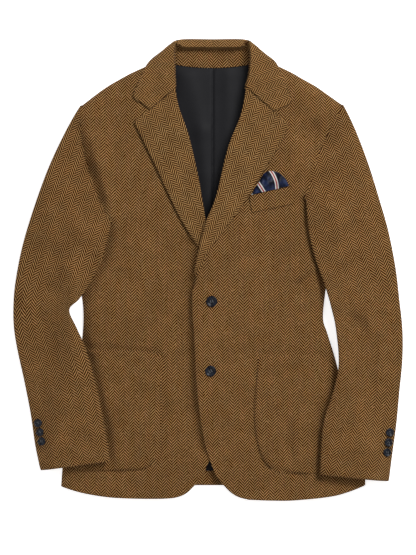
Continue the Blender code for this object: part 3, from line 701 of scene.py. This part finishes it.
def fill_outline(outline, spacing, creases):
    """Triangles inside an outline in plan, with closer rows of points along its edge."""
    outline = [tuple(point) for point in outline]
    ring = np.array(outline)
    sides = np.roll(ring, -1, 0) - np.roll(ring, 1, 0)
    outward = np.column_stack([sides[:, 1], -sides[:, 0]]) / np.linalg.norm(sides, axis=1)[:, None]
    loop = outline + outline[:1]
    points = [ring]
    for row in EDGE_ROWS:
        for sign in (-1, 1):
            places = ring + sign * outward * row
            near = line_distance(places, loop)
            points.append(places[inside(places, outline) & (near > 0.9 * row)])
    low = ring.min(axis=0)
    rise = spacing * GRID_RISE
    columns, lines = ((ring.max(axis=0) - low) / (spacing, rise)).astype(int) + 2
    grid = np.array([(low[0] + (column + 0.5 * (line % 2)) * spacing, low[1] + line * rise)
                     for line in range(lines) for column in range(columns)])
    near = line_distance(grid, loop)
    points.append(grid[inside(grid, outline) & (near > EDGE_ROWS[-1] + 0.45 * spacing)])
    points = [Vector(point) for point in np.vstack(points + list(creases)).tolist()]
    edges = [(index, (index + 1) % len(outline)) for index in range(len(outline))]
    flat, _, triangles, *_ = delaunay_2d_cdt(points, edges, [], 0, MERGE_DISTANCE)
    flat = np.array([(point.x, point.y) for point in flat])
    triangles = np.array([tuple(triangle) for triangle in triangles])
    a, b, c = (flat[triangles[:, k]] for k in range(3))
    area = (b - a)[:, 0] * (c - a)[:, 1] - (c - a)[:, 0] * (b - a)[:, 1]
    kept = inside((a + b + c) / 3, outline) & (np.abs(area) > 1e-4)
    triangles[area < 0] = triangles[area < 0][:, ::-1]
    triangles = triangles[kept]
    used, numbers = np.unique(triangles, return_inverse=True)
    return flat[used], numbers.reshape(triangles.shape).tolist()


def grid_faces(rows, columns, closed=False):
    """Quads between the points of a grid, rows first."""
    faces = []
    for row in range(rows - 1):
        for column in range(columns if closed else columns - 1):
            after = (column + 1) % columns
            a = row * columns
            faces.append([a + column, a + after, a + columns + after, a + columns + column])
    return faces


def laid_sheet(name, outline, height, wall, cloth, cut,
               grain=None, spacing=GRID_STEP, creases=()):
    """A panel in plan whose outer face has the given height."""
    flat, triangles = fill_outline(outline, spacing, creases)
    vertices = np.column_stack([flat, height(flat)])
    threads = flat if grain is None else grain(flat)
    cloth_piece(name, vertices, triangles, threads, wall, cloth, cut)


# ---------------------------------------------------------------- pieces
def make_back():
    """Two flat halves, the turned-up hem, the lining and the strip inside the neck."""
    for half, name in ((RIGHT, "back_right"), (LEFT, "back_left")):
        centre = half.outward * SEAM_GAP / 2
        neck_end = half.shoulder[-1]
        middle = straight_line([neck_end, (neck_end[0] * 0.84, 374.5), (centre, 375.8),
                                (centre, BACK_HEM_Y), half.side[0]])
        outline = half.back_outline + middle[1:-1]
        laid_sheet(name, outline, lambda places: np.full(len(places), BACK_WALL), BACK_WALL, TWEED,
                   BACK_CUT, spacing=7.0)

    floor = BACK_WALL + SEAM_GAP
    high = BACK_HEM_Y + HEM_DEPTH
    hem = straight_loop([(-238, BACK_HEM_Y - 1), (256, BACK_HEM_Y - 1), (254, high), (-237, high)])
    laid_sheet("back_hem", hem, lambda places: floor + BACK_WALL + 0.5 * ripple(places, 40, 2.0),
               BACK_WALL, TWEED, HEM_CUT)

    low = high + SEAM_GAP
    right = [(x + LINING_INSET, y) for x, y in SIDE_RIGHT if low + 2 < y < 60]
    left = [(x - LINING_INSET, y) for x, y in SIDE_LEFT if low + 2 < y < 60]
    corners = [(-232, low), (250, low), *left, *LINING_LEFT, *neck_edge(0.0), *LINING_RIGHT, *right[::-1]]
    seam = [straight_line([(LINING_SEAM + side, 344), (LINING_SEAM + side, 60)], 3.0)
            for side in (-2.4, -1.2, 0.0, 1.2, 2.4)]
    laid_sheet("back_lining", straight_loop(corners), lining_height, LINING_WALL, SATIN,
               LINING_CUT, spacing=4.0, creases=seam)

    strip = straight_loop(neck_edge(SEAM_GAP)[::-1] + [(71, NECK_SEAM), (-57, NECK_SEAM)])
    laid_sheet("back_neck_facing", strip,
               lambda places: floor + BACK_WALL + 0.5 + 0.5 * ripple(places, 30, 5.0),
               BACK_WALL, TWEED, NECK_FACING_CUT)


def neck_edge(lift):
    """The lower edge of the strip inside the neck, left to right end, sagging in the middle."""
    edge = []
    for step in range(17):
        share = 1 - step / 8
        sag = NECK_SAG * (2 * share * share - 1)
        edge.append((NECK_MIDDLE + share * NECK_REACH, NECK_EDGE + sag + lift))
    return edge


def lining_height(places):
    """The lining lies loose: a seam down its middle and soft folds in the opening."""
    x, y = places.T
    shown = blend(y, 40, 110) * blend(y, 366, 330) * blend(np.abs(x - 6), 78, 52)
    folds = fold_height(places, LINING_FOLDS)
    groove = SEAM_GROOVE * np.exp(-((x - LINING_SEAM) / 1.5) ** 2)
    loose = 0.5 * ripple(places, 30, 31.0)
    lift = np.maximum(shown * (LINING_PUFF + folds + loose - groove), -0.3)
    return BACK_WALL + SEAM_GAP + LINING_WALL + lift


def on_front(height, outline, folds=(), puff=0.0):
    """A height function for a pocket that lies on a front."""
    loop = outline + outline[:1]

    def top(places):
        away = blend(line_distance(places, loop), 0, 14)
        return height(places) + SEAM_GAP + POCKET_WALL + puff * away + fold_height(places, folds)

    return top


def make_fronts():
    """Both fronts and the patch pockets on them."""
    laid_sheet("front_right", RIGHT.front_outline, right_height, FRONT_WALL, TWEED,
               FRONT_CUT)
    laid_sheet("front_left", LEFT.front_outline[::-1], left_height, FRONT_WALL, TWEED,
               FRONT_CUT)

    for side, table, height, folds in (
            ("right", HIP_POCKET_RIGHT, right_height, POCKET_FOLDS_RIGHT),
            ("left", HIP_POCKET_LEFT, left_height, POCKET_FOLDS_LEFT)):
        loop = turned_left(closed_line(table))
        laid_sheet("hip_pocket_" + side, loop, on_front(height, loop, folds), POCKET_WALL, TWEED,
                   HIP_POCKET_CUT, grain=lambda places: places + POCKET_SHIFT)


def turned_left(loop):
    """The loop in the order that runs counterclockwise."""
    area = sum(ax * by - bx * ay for (ax, ay), (bx, by) in zip(loop, loop[1:] + loop[:1]))
    return loop if area > 0 else loop[::-1]


def make_breast_pocket():
    """The welt and the folded silk square standing in it."""
    loop = turned_left(straight_loop(WELT))
    lower = np.array(WELT[1]) - np.array(WELT[0])
    tilt = math.atan2(lower[1], lower[0])
    turn = np.array([[math.cos(tilt), math.sin(tilt)], [-math.sin(tilt), math.cos(tilt)]])
    on_welt = on_front(left_height, loop)
    laid_sheet("breast_pocket_welt", loop, lambda places: on_welt(places) + WELT_LIFT, POCKET_WALL, TWEED,
               WELT_CUT, spacing=3.0)

    loop = turned_left(smooth_line(SQUARE, 3.0) + smooth_line((SQUARE[-1], SQUARE[0]), 3.0)[1:-1])
    laid_sheet("pocket_square", loop, on_front(left_height, loop, SQUARE_FOLDS, SQUARE_PUFF), POCKET_WALL,
               SILK, SQUARE_CUT, spacing=1.6,
               grain=lambda places: (places - np.array(WELT[0])) @ turn.T)


def resample(points, counts):
    """A smooth line through a section's control points, with a fixed number of steps in each stretch."""
    points = [Vector(point) for point in points]
    padded = [points[0]] + points + [points[-1]]
    line = [points[0]]
    for around, steps in zip(zip(padded, padded[1:], padded[2:], padded[3:]), counts):
        line += [curve_point(*around, step / steps) for step in range(1, steps + 1)]
    return np.array([tuple(point) for point in line])


def loft_piece(name, rows, grain, wall, cloth, cut, flip=False, closed=False):
    """A sheet through rows of points."""
    rows = np.asarray(rows)
    grain = np.asarray(grain)
    faces = grid_faces(rows.shape[0], rows.shape[1], closed)
    if flip:
        faces = [face[::-1] for face in faces]
    cloth_piece(name, rows.reshape(-1, 3), faces, grain.reshape(-1, 2), wall, cloth, cut)


def make_lapel(name, table, height, outward):
    """A leaf that turns round the front's edge at the fold and lies on the front."""
    fine = smooth_line(table, 3.0)
    first_fade = len(smooth_line(table[:-3], 3.0)) - 1
    rows = []
    grain = []
    for number, (roll_x, roll_y, edge_x, edge_y) in enumerate(fine):
        fade = 1.0 - 0.75 * float(blend(number, first_fade, len(fine) - 1))
        puff = ROLL_PUFF * fade
        top = height([(roll_x + outward * 6, roll_y)])[0] + SEAM_GAP + LAPEL_WALL + puff
        section = [(roll_x + outward * 0.6, roll_y, top - 8.5), (roll_x, roll_y, top - 3.0),
                   (roll_x + outward * 1.6, roll_y - 0.3, top - 0.6)]
        shares = np.array(LAPEL_SHARES)
        leaf = np.column_stack([roll_x + (edge_x - roll_x) * shares, roll_y + (edge_y - roll_y) * shares])
        lift = SEAM_GAP + LAPEL_WALL + puff * (1 - shares) ** 2 + 0.3 + EDGE_LIFT * fade * shares ** 4
        leaf_z = height(leaf) + PRESS_DEPTH * shares ** 8 + lift
        section += [(*place, z) for place, z in zip(leaf.tolist(), leaf_z)]
        section = resample(section, LAPEL_COUNTS)
        rows.append(section)
        grain.append(turned_grain(section[:, :2], -outward * LAPEL_GRAIN))
    loft_piece(name, rows, grain, LAPEL_WALL, TWEED_SOFT, LAPEL_CUT, flip=outward > 0)


def make_collar():
    """Stand and fall in one strip, lying on the fronts at its ends and standing behind the neck."""
    rows = []
    grain = []
    fine = smooth_line([row[3:6] + row[0:3] + row[6:12] for row in COLLAR], 3.0)
    along = 0.0
    length = sum(math.dist(a[:3], b[:3]) for a, b in zip(fine, fine[1:]))
    for number, row in enumerate(fine):
        fold, base, fall, edge = (Vector(row[index:index + 3]) for index in (0, 3, 6, 9))
        if number:
            along += math.dist(fine[number - 1][:3], row[:3])
        from_end = min(along, length - along)
        fold.z -= STAND_EASE * (fold.z - base.z) * float(blend(from_end, 60, 90))
        fold.y -= FOLD_ROLL * float(blend(from_end, 76, 96))
        crest = fold + (fall - fold) * 0.12 + Vector((0, 0, 0.5))
        under = fold.lerp(base, 0.22)
        section = resample([base, base.lerp(fold, 0.5), under, fold, crest,
                            fold.lerp(fall, 0.55) + Vector((0, 0, 1.2)), fall,
                            fall.lerp(edge, 0.5) + Vector((0, 0, 0.4)), edge], COLLAR_COUNTS)
        steps = np.linalg.norm(np.diff(section, axis=0), axis=1)
        across = np.append(0.0, np.cumsum(steps))
        rows.append(section)
        side = -1.0 if along < length / 2 else 1.0
        strip = np.column_stack([np.full(len(section), -side * from_end), across])
        seam_x, seam_y = COLLAR_SEAM[side > 0]
        leaf = turned_grain(section[:, :2] - (seam_x, seam_y), COLLAR_GRAIN[side > 0])
        leaf = leaf + (-side * COLLAR_LEAF, 0.0)
        share = float(blend(from_end, COLLAR_LEAF - 9, COLLAR_LEAF + 9))
        grain.append(leaf * (1 - share) + strip * share)
    for end, after in ((0, 1), (-1, -2)):
        way = rows[end] - rows[after]
        way = way / np.linalg.norm(way, axis=1)[:, None] * GORGE_TUCK
        way[:, 2] = -GORGE_TUCK * 0.8
        tucked = rows[end] + way
        threads = grain[end] + (grain[end] - grain[after])
        rows.insert(0 if end == 0 else len(rows), tucked)
        grain.insert(0 if end == 0 else len(grain), threads)
    loft_piece("collar", rows, grain, LAPEL_WALL, TWEED_SOFT,
               COLLAR_CUT, flip=True)


def make_sleeves():
    """Two tubes, each lying half on its front and half beside it."""
    for half, side, folds in ((RIGHT, "right", SLEEVE_FOLDS_RIGHT), (LEFT, "left", SLEEVE_FOLDS_LEFT)):
        rings, grain = sleeve_surface(half, folds)
        loft_piece("sleeve_" + side, rings, grain, SLEEVE_WALL, TWEED,
                   SLEEVE_CUT, flip=half.outward < 0, closed=True)


# ---------------------------------------------------------------- buttons
BUTTON_PROFILE = (
    # share of the radius, share of the thickness
    (0.3, 0.56), (0.56, 0.6), (0.66, 0.72), (0.73, 0.9), (0.8, 0.99), (0.87, 1.0), (0.94, 0.92),
    (0.985, 0.75), (1.0, 0.52), (0.985, 0.3), (0.93, 0.12), (0.85, 0.02), (0.75, 0.0),
)
BUTTON_THICKNESS = 0.36   # of the radius
BUTTON_STEPS = 64
HOLE_REACH = 0.27         # of the radius, from the middle to a thread hole
HOLE_SIZE = 0.105         # of the radius
HOLE_STEPS = 16
TUBE_SIDES = 8


def button_mesh(radius):
    """A turned disc with a raised rim and a dished middle with four thread holes."""
    thick = radius * BUTTON_THICKNESS
    vertices = []
    faces = []
    for share, lift in BUTTON_PROFILE:
        for step in range(BUTTON_STEPS):
            angle = math.tau * step / BUTTON_STEPS
            vertices.append((share * radius * math.cos(angle), share * radius * math.sin(angle),
                             lift * thick))
    for ring in range(len(BUTTON_PROFILE) - 1):
        for step in range(BUTTON_STEPS):
            after = (step + 1) % BUTTON_STEPS
            low = ring * BUTTON_STEPS
            faces.append([low + step, low + BUTTON_STEPS + step, low + BUTTON_STEPS + after, low + after])
    faces.append(list(range(BUTTON_STEPS)))
    last = (len(BUTTON_PROFILE) - 1) * BUTTON_STEPS
    faces.append([last + step for step in reversed(range(BUTTON_STEPS))])
    return new_mesh("button", vertices, faces, np.array(vertices)[:, :2])


def pin_mesh(radius):
    """Four round pins that cut the thread holes."""
    vertices = []
    faces = []
    for hole in range(4):
        angle = math.tau * (hole + 0.5) / 4
        x = radius * HOLE_REACH * math.cos(angle)
        y = radius * HOLE_REACH * math.sin(angle)
        first = len(vertices)
        for z in (-radius, radius):
            for step in range(HOLE_STEPS):
                turn = math.tau * step / HOLE_STEPS
                vertices.append((x + radius * HOLE_SIZE * math.cos(turn),
                                 y + radius * HOLE_SIZE * math.sin(turn), z))
        add_tube_faces(faces, first, 2, HOLE_STEPS)
    return new_mesh("pins", vertices, faces, np.zeros((len(vertices), 2)))


def thread_mesh(radius):
    """Two bars of thread across the middle and a wound shank under the button."""
    thick = radius * BUTTON_THICKNESS
    reach = radius * HOLE_REACH * math.sqrt(0.5)
    wound = radius * 0.2
    vertices = []
    faces = []
    for side in (-1, 1):
        for strand in (-0.5, 0.5):
            path = []
            for step in range(13):
                share = step / 12 * 2 - 1
                lift = thick * 0.62 + radius * 0.05 * (1 - share ** 4)
                if abs(share) > 0.95:
                    lift = thick * 0.1
                path.append((side * reach + strand * radius * 0.075, share * (reach + radius * 0.03), lift))
            add_tube(vertices, faces, path, radius * 0.045)
    for turn in range(2):
        path = []
        for step in range(21):
            angle = math.tau * step / 20
            path.append((wound * math.cos(angle), wound * math.sin(angle), -0.5 - 0.9 * turn))
        add_tube(vertices, faces, path, 0.5)
    return new_mesh("thread", vertices, faces, np.zeros((len(vertices), 2)))


def add_tube(vertices, faces, path, radius):
    """A closed tube along a path, added to lists of vertices and faces."""
    first = len(vertices)
    points = [Vector(point) for point in path]
    for number, point in enumerate(points):
        along = (points[min(number + 1, len(points) - 1)] - points[max(number - 1, 0)]).normalized()
        side = along.cross(Vector((0.3, 0.1, 1.0))).normalized()
        up = side.cross(along)
        for step in range(TUBE_SIDES):
            angle = math.tau * step / TUBE_SIDES
            vertices.append(tuple(point + (side * math.cos(angle) + up * math.sin(angle)) * radius))
    add_tube_faces(faces, first, len(points), TUBE_SIDES)


def add_tube_faces(faces, first, rings, sides):
    """The sides and both ends of a tube whose rings start at vertex first."""
    faces += [[first + index for index in face] for face in grid_faces(rings, sides, closed=True)]
    last = first + (rings - 1) * sides
    faces.append([first + step for step in reversed(range(sides))])
    faces.append([last + step for step in range(sides)])


def applied(piece):
    """Replace a piece's mesh by what its modifiers make of it."""
    bpy.context.view_layer.update()
    graph = bpy.context.evaluated_depsgraph_get()
    mesh = bpy.data.meshes.new_from_object(piece.evaluated_get(graph))
    piece.modifiers.clear()
    piece.data = mesh


def place_button(node, radius, spin):
    """A four-hole button where the frame has it, sewn on with thread."""
    name = node + "_turned"
    low, high = (Vector(corner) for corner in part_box(node))
    normal = node_normal(node)
    centre = (low + high) / 2 - normal * radius * BUTTON_THICKNESS / 2 * MM
    piece = new_object(name, button_mesh(radius), JACKET)
    cutter = new_object(name + "_pins", pin_mesh(radius), JACKET)
    cut = piece.modifiers.new("holes", "BOOLEAN")
    cut.operation = "DIFFERENCE"
    cut.solver = "EXACT"
    cut.object = cutter
    applied(piece)
    bpy.data.objects.remove(cutter, do_unlink=True)
    piece.data.shade_smooth()
    piece.data.set_sharp_from_angle(angle=math.radians(44))
    piece.data.materials.clear()
    piece.data.materials.append(RESIN)
    thread = new_object(name.replace("button", "button_thread"), thread_mesh(radius), JACKET)
    thread.data.materials.append(THREAD)
    turn = normal.to_track_quat("Z", "Y").to_euler()
    for item in (piece, thread):
        item.location = centre
        item.rotation_euler = turn
        item.rotation_euler.rotate_axis("Z", spin)
        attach(item, BODY)
    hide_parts(node)


def node_normal(node):
    """Which way a button of the frame faces: the sum of its upward faces."""
    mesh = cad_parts[node].data
    total = Vector((0.0, 0.0, 0.0))
    for face in mesh.polygons:
        if face.normal.z > 0.8:
            total += face.normal * face.area
    return total.normalized()


def make_buttons():
    """Two buttons in front and three on each cuff."""
    for number in (1, 2):
        place_button(f"front_button_{number}", BUTTON_RADIUS, 0.3 * number)
    for side in ("right", "left"):
        for number in (1, 2, 3):
            place_button(f"cuff_button_{side}_{number}", CUFF_BUTTON_RADIUS, 0.5 * number)


# ---------------------------------------------------------------- materials
SOCKETS = {
    "roughness": "Roughness",
    "specular": "Specular IOR Level",
    "sheen": "Sheen Weight",
    "sheen_roughness": "Sheen Roughness",
    "base": "Base Color",
    "glow": "Emission Color",
    "glow_strength": "Emission Strength",
}


class Nodes:
    """Short calls for building one material's nodes."""

    def __init__(self, name, **constants):
        self.material = bpy.data.materials.new(name)
        self.material.use_nodes = True
        self.tree = self.material.node_tree
        self.shader = self.tree.nodes["Principled BSDF"]
        for socket, value in constants.items():
            self.shader.inputs[SOCKETS[socket]].default_value = value

    def link(self, source, target):
        """Set a socket to a number or a colour, or join it to another node's socket."""
        if isinstance(source, (int, float, tuple)):
            target.default_value = source
        else:
            self.tree.links.new(source, target)

    def math(self, operation, *values):
        """One sum on numbers or sockets."""
        node = self.tree.nodes.new("ShaderNodeMath")
        node.operation = operation
        for value, socket in zip(values, node.inputs):
            self.link(value, socket)
        return node.outputs[0]

    def plus(self, first, second):
        return self.math("ADD", first, second)

    def minus(self, first, second):
        return self.math("SUBTRACT", first, second)

    def times(self, first, second):
        return self.math("MULTIPLY", first, second)

    def step(self, value, low, high):
        """0 below low and 1 above high, with a smooth step between."""
        node = self.tree.nodes.new("ShaderNodeMapRange")
        node.interpolation_type = "SMOOTHSTEP"
        self.link(value, node.inputs["Value"])
        node.inputs["From Min"].default_value = low
        node.inputs["From Max"].default_value = high
        return node.outputs["Result"]

    def mix(self, share, first, second, blend_type="MIX"):
        node = self.tree.nodes.new("ShaderNodeMix")
        node.data_type = "RGBA"
        node.blend_type = blend_type
        self.link(share, node.inputs["Factor"])
        self.link(colour(first), node.inputs["A"])
        self.link(colour(second), node.inputs["B"])
        return node.outputs["Result"]

    def vector(self, x, y, z=0.0):
        node = self.tree.nodes.new("ShaderNodeCombineXYZ")
        for value, socket in zip((x, y, z), node.inputs):
            self.link(value, socket)
        return node.outputs[0]

    def grain(self):
        """Metres across and along the cloth's threads."""
        node = self.tree.nodes.new("ShaderNodeUVMap")
        node.uv_map = "grain"
        split = self.tree.nodes.new("ShaderNodeSeparateXYZ")
        self.tree.links.new(node.outputs[0], split.inputs[0])
        return split.outputs["X"], split.outputs["Y"]

    def place(self):
        """The point's own place in the object, in metres."""
        node = self.tree.nodes.new("ShaderNodeTexCoord")
        return node.outputs["Object"]

    def noise(self, vector, size, detail=2.0, roughness=0.5):
        """Noise from 0 to 1 with features about size metres wide."""
        node = self.tree.nodes.new("ShaderNodeTexNoise")
        self.tree.links.new(vector, node.inputs["Vector"])
        node.inputs["Scale"].default_value = 1.0 / size
        node.inputs["Detail"].default_value = detail
        node.inputs["Roughness"].default_value = roughness
        return node.outputs["Fac"]

    def bump(self, height, distance, strength=1.0):
        node = self.tree.nodes.new("ShaderNodeBump")
        node.inputs["Strength"].default_value = strength
        node.inputs["Distance"].default_value = distance
        self.tree.links.new(height, node.inputs["Height"])
        self.tree.links.new(node.outputs[0], self.shader.inputs["Normal"])

    def paint(self, source):
        self.link(source, self.shader.inputs["Base Color"])


def colour(value):
    """A colour with its alpha, or a socket as it is."""
    return (*value, 1.0) if isinstance(value, tuple) else value


STRIPE = 0.00875          # metres, one column of the herringbone
TWILL_PITCH = 0.00506     # metres along the column from one twill line to the next
TWILL_SLOPE = 1.08        # rise of a twill line for each metre across
DARK_YARN = (0.034, 0.0080, 0.0006)
LIGHT_YARN = (0.53, 0.312, 0.120)
FLECK = (0.52, 0.33, 0.16)
COOL_TINT = (0.90, 1.0, 1.12)
WARM_TINT = (1.10, 0.99, 0.84)
COLUMN_WANDER = 0.0022    # metres, how far a column strays to either side
SLUB = 0.13               # of a twill line, how far the yarn strays
PATCHY = 0.32             # how much the yarn's width varies
YARN_EDGES = (0.34, 1.0)  # where the light yarn starts and is full, of the wave from -1 to 1


def make_tweed(name, contrast=1.0):
    """Brown herringbone tweed: twill lines that turn back at each column, uneven yarn and flecks."""
    nodes = Nodes(name, roughness=0.93, specular=0.02, sheen=0.02, sheen_roughness=0.5)
    across, along = nodes.grain()
    place = nodes.place()
    wander = nodes.minus(nodes.noise(place, 0.045, 2.0), 0.5)
    across = nodes.plus(across, nodes.times(wander, COLUMN_WANDER))
    turned = nodes.math("PINGPONG", across, STRIPE)
    column = nodes.math("FLOOR", nodes.math("DIVIDE", across, STRIPE))
    half_step = nodes.times(nodes.math("FLOORED_MODULO", column, 2.0), 0.5)
    climb = nodes.times(turned, TWILL_SLOPE)
    phase = nodes.math("DIVIDE", nodes.plus(along, climb), TWILL_PITCH)
    phase = nodes.plus(phase, half_step)
    slub = nodes.minus(nodes.noise(place, 0.0052, 3.0, 0.6), 0.5)
    phase = nodes.plus(phase, nodes.times(slub, SLUB))
    wave = nodes.math("SINE", nodes.times(phase, math.tau))
    patchy = nodes.minus(nodes.noise(place, 0.0036, 2.0, 0.7), 0.5)
    wave = nodes.plus(wave, nodes.times(patchy, PATCHY))
    yarn = nodes.step(wave, *YARN_EDGES)
    from_turn = nodes.math("MINIMUM", turned, nodes.minus(STRIPE, turned))
    break_line = nodes.step(from_turn, 0.0, 0.0009)
    yarn = nodes.times(yarn, nodes.math("MULTIPLY_ADD", break_line, 0.25, 0.75))
    yarn = nodes.math("MULTIPLY_ADD", yarn, contrast, 0.5 * (1.0 - contrast))
    base = nodes.mix(yarn, DARK_YARN, LIGHT_YARN)
    fleck = nodes.step(nodes.noise(place, 0.0021, 1.0, 0.5), 0.64, 0.74)
    base = nodes.mix(nodes.times(fleck, 0.35), base, FLECK)
    cloud = nodes.noise(place, 0.030, 3.0, 0.6)
    shade = nodes.math("MULTIPLY_ADD", cloud, 0.60, 0.66)
    fine = nodes.noise(place, 0.0011, 2.0, 0.7)
    shade = nodes.times(shade, nodes.math("MULTIPLY_ADD", fine, 0.5, 0.75))
    base = nodes.mix(1.0, base, nodes.vector(shade, shade, shade), "MULTIPLY")
    hue = nodes.noise(place, 0.018, 3.0, 0.6)
    base = nodes.mix(1.0, base, nodes.mix(hue, COOL_TINT, WARM_TINT), "MULTIPLY")
    nodes.paint(base)
    relief = nodes.plus(yarn, nodes.times(fine, 0.6))
    nodes.bump(relief, 0.00030, 0.5)
    return nodes.material


SATIN_DARK = (0.0046, 0.0046, 0.0058)
SATIN_LIGHT = (0.0150, 0.0150, 0.0176)
NAVY_DARK = (0.001, 0.002, 0.009)
# lighter navy, in patches at random: painted highlights of the silk
NAVY_PAINTED_HIGHLIGHT = (0.010, 0.020, 0.066)
STRIPE_WHITE = (0.62, 0.60, 0.58)
STRIPE_RED = (0.30, 0.022, 0.020)
RESIN_DARK = (0.0012, 0.0016, 0.0036)
RESIN_LIGHT = (0.012, 0.015, 0.024)
# the thread's grey-blue is lightened into painted highlight, for light marks in the button's middle
THREAD_AND_SHEEN_DARK = (0.050, 0.054, 0.064)
THREAD_AND_SHEEN_LIGHT = (0.140, 0.146, 0.160)


def make_satin():
    """Dark lining: a close, slightly glossy satin with fine lengthwise threads."""
    nodes = Nodes("lining_satin", roughness=0.6, specular=0.16, sheen=0.02)
    across, along = nodes.grain()
    place = nodes.place()
    threads = nodes.noise(nodes.vector(nodes.times(across, 9.0), along), 0.004, 2.0)
    cloud = nodes.noise(place, 0.035, 2.0)
    share = nodes.math("MULTIPLY_ADD", threads, 0.6, nodes.times(cloud, 0.4))
    nodes.paint(nodes.mix(share, SATIN_DARK, SATIN_LIGHT))
    nodes.bump(threads, 0.00012, 0.6)
    return nodes.material


SILK_STRIPES = (
    # a point on the stripe (x, y), its direction (x, y), how much it bends
    ((18.9, 20.1), (0.36, -0.93), 0.0),
    ((50.2, 12.4), (0.017, -1.0), -0.0105),
    ((-2.0, 6.0), (0.70, -0.71), 0.0),
)


def make_silk():
    """Navy silk with narrow white-edged red stripes, a fine rib and painted highlights in lighter patches.
    """
    nodes = Nodes("pocket_silk", roughness=0.36, specular=0.22, sheen=0.02)
    across, along = nodes.grain()
    place = nodes.place()
    rib = nodes.math("SINE", nodes.times(nodes.plus(along, across), math.tau / 0.0009))
    # lighter patches of navy at random: painted highlights
    cloud = nodes.step(nodes.noise(place, 0.012, 2.0), 0.35, 0.65)
    base = nodes.mix(cloud, NAVY_DARK, NAVY_PAINTED_HIGHLIGHT)
    for (start_x, start_y), (way_x, way_y), bend in SILK_STRIPES:
        away_x = nodes.minus(across, start_x * MM)
        away_y = nodes.minus(along, start_y * MM)
        forth = nodes.plus(nodes.times(away_x, way_x), nodes.times(away_y, way_y))
        side = nodes.minus(nodes.times(away_x, way_y), nodes.times(away_y, way_x))
        curve = nodes.times(nodes.times(forth, forth), bend / MM)
        off = nodes.math("ABSOLUTE", nodes.plus(side, curve))
        white = nodes.minus(1.0, nodes.step(off, 0.0027, 0.0033))
        red = nodes.minus(1.0, nodes.step(off, 0.0009, 0.0013))
        base = nodes.mix(white, base, STRIPE_WHITE)
        base = nodes.mix(red, base, STRIPE_RED)
    nodes.paint(base)
    nodes.bump(rib, 0.00010, 0.5)
    return nodes.material


def make_resin():
    """Marbled dark blue-grey button resin."""
    nodes = Nodes("button_resin", roughness=0.25, specular=0.26)
    place = nodes.place()
    swirl = nodes.noise(place, 0.004, 4.0, 0.65)
    streak = nodes.step(swirl, 0.42, 0.62)
    nodes.paint(nodes.mix(streak, RESIN_DARK, RESIN_LIGHT))
    nodes.bump(swirl, 0.00008, 0.4)
    return nodes.material


def make_thread():
    """Sewing thread in a light grey-blue: its own colour and a painted highlight, so that the button's
    middle shows light marks.
    """
    nodes = Nodes("button_thread", roughness=0.8)
    twist = nodes.noise(nodes.place(), 0.0005, 1.0)
    nodes.paint(nodes.mix(twist, THREAD_AND_SHEEN_DARK, THREAD_AND_SHEEN_LIGHT))
    nodes.bump(twist, 0.00015, 0.6)
    return nodes.material


# ---------------------------------------------------------------- camera and light
IMAGE_HEIGHT_M = 0.949    # height of the picture at the jacket
CAMERA_DISTANCE = 6.0
CAMERA_Y = -0.0128
JACKET_MIDDLE_Z = 0.022
SENSOR_MM = 36.0
FLOOR_Z = -0.0004
FLOOR_GLOW = 0.70
ROOM_GLOW = 0.37
LIGHTS = (
    # name, place, aim, size, power
    ("key", (1.6, 1.85, 3.1), (0.0, 0.0, 0.0), 1.5, 116.0),
    ("fill", (-1.6, -1.6, 2.8), (0.0, 0.2, 0.0), 1.6, 14.0),
)


def make_floor():
    """A plain white floor, lit evenly."""
    nodes = Nodes("floor", roughness=0.9, base=(0.9, 0.9, 0.9, 1.0), glow=(1.0, 1.0, 1.0, 1.0),
                  glow_strength=FLOOR_GLOW)
    mesh = bpy.data.meshes.new("floor")
    mesh.from_pydata([(x * 6, y * 6, FLOOR_Z) for x, y in ((-1, -1), (1, -1), (1, 1), (-1, 1))], [],
                     [(0, 1, 2, 3)])
    mesh.materials.append(nodes.material)
    new_object("floor", mesh, bpy.context.scene.collection)


def make_camera():
    """Straight down on the jacket."""
    data = bpy.data.cameras.new("camera")
    data.sensor_width = SENSOR_MM
    data.sensor_fit = "AUTO"
    data.lens = SENSOR_MM * CAMERA_DISTANCE / IMAGE_HEIGHT_M
    camera = new_object("camera", data, bpy.context.scene.collection)
    camera.location = (0.0, CAMERA_Y, CAMERA_DISTANCE + JACKET_MIDDLE_Z)
    bpy.context.scene.camera = camera


def area_light(name, place, aim, size, power):
    """A soft square light aimed at a point."""
    data = bpy.data.lights.new(name, "AREA")
    data.shape = "SQUARE"
    data.size = size
    data.energy = power
    light = new_object(name, data, bpy.context.scene.collection)
    light.location = place
    light.rotation_euler = (Vector(aim) - Vector(place)).to_track_quat("-Z", "Y").to_euler()


def make_light():
    """A broad light off the wearer's left shoulder, a weaker one opposite, and an even white room."""
    for row in LIGHTS:
        area_light(*row)
    world = bpy.data.worlds.new("room")
    world.use_nodes = True
    background = world.node_tree.nodes["Background"]
    background.inputs["Color"].default_value = (1.0, 1.0, 1.0, 1.0)
    background.inputs["Strength"].default_value = ROOM_GLOW
    bpy.context.scene.world = world
    bpy.context.scene.view_settings.view_transform = "Standard"


# ---------------------------------------------------------------- the scene
JACKET = bpy.data.collections.new("jacket_looks")
bpy.context.scene.collection.children.link(JACKET)
# each cloth: its material and the name of its cloth
TWEED = (make_tweed("tweed"), "tweed")
TWEED_SOFT = (make_tweed("tweed_turned", 0.92), "tweed")
SATIN = (make_satin(), "lining")
SILK = (make_silk(), "pocket_silk")
RESIN = make_resin()
THREAD = make_thread()

make_camera()
make_light()
make_floor()
make_back()
make_fronts()
make_breast_pocket()
make_lapel("lapel_right", LAPEL_RIGHT, right_height, -1)
make_lapel("lapel_left", LAPEL_LEFT, left_height, 1)
make_collar()
make_sleeves()
make_buttons()
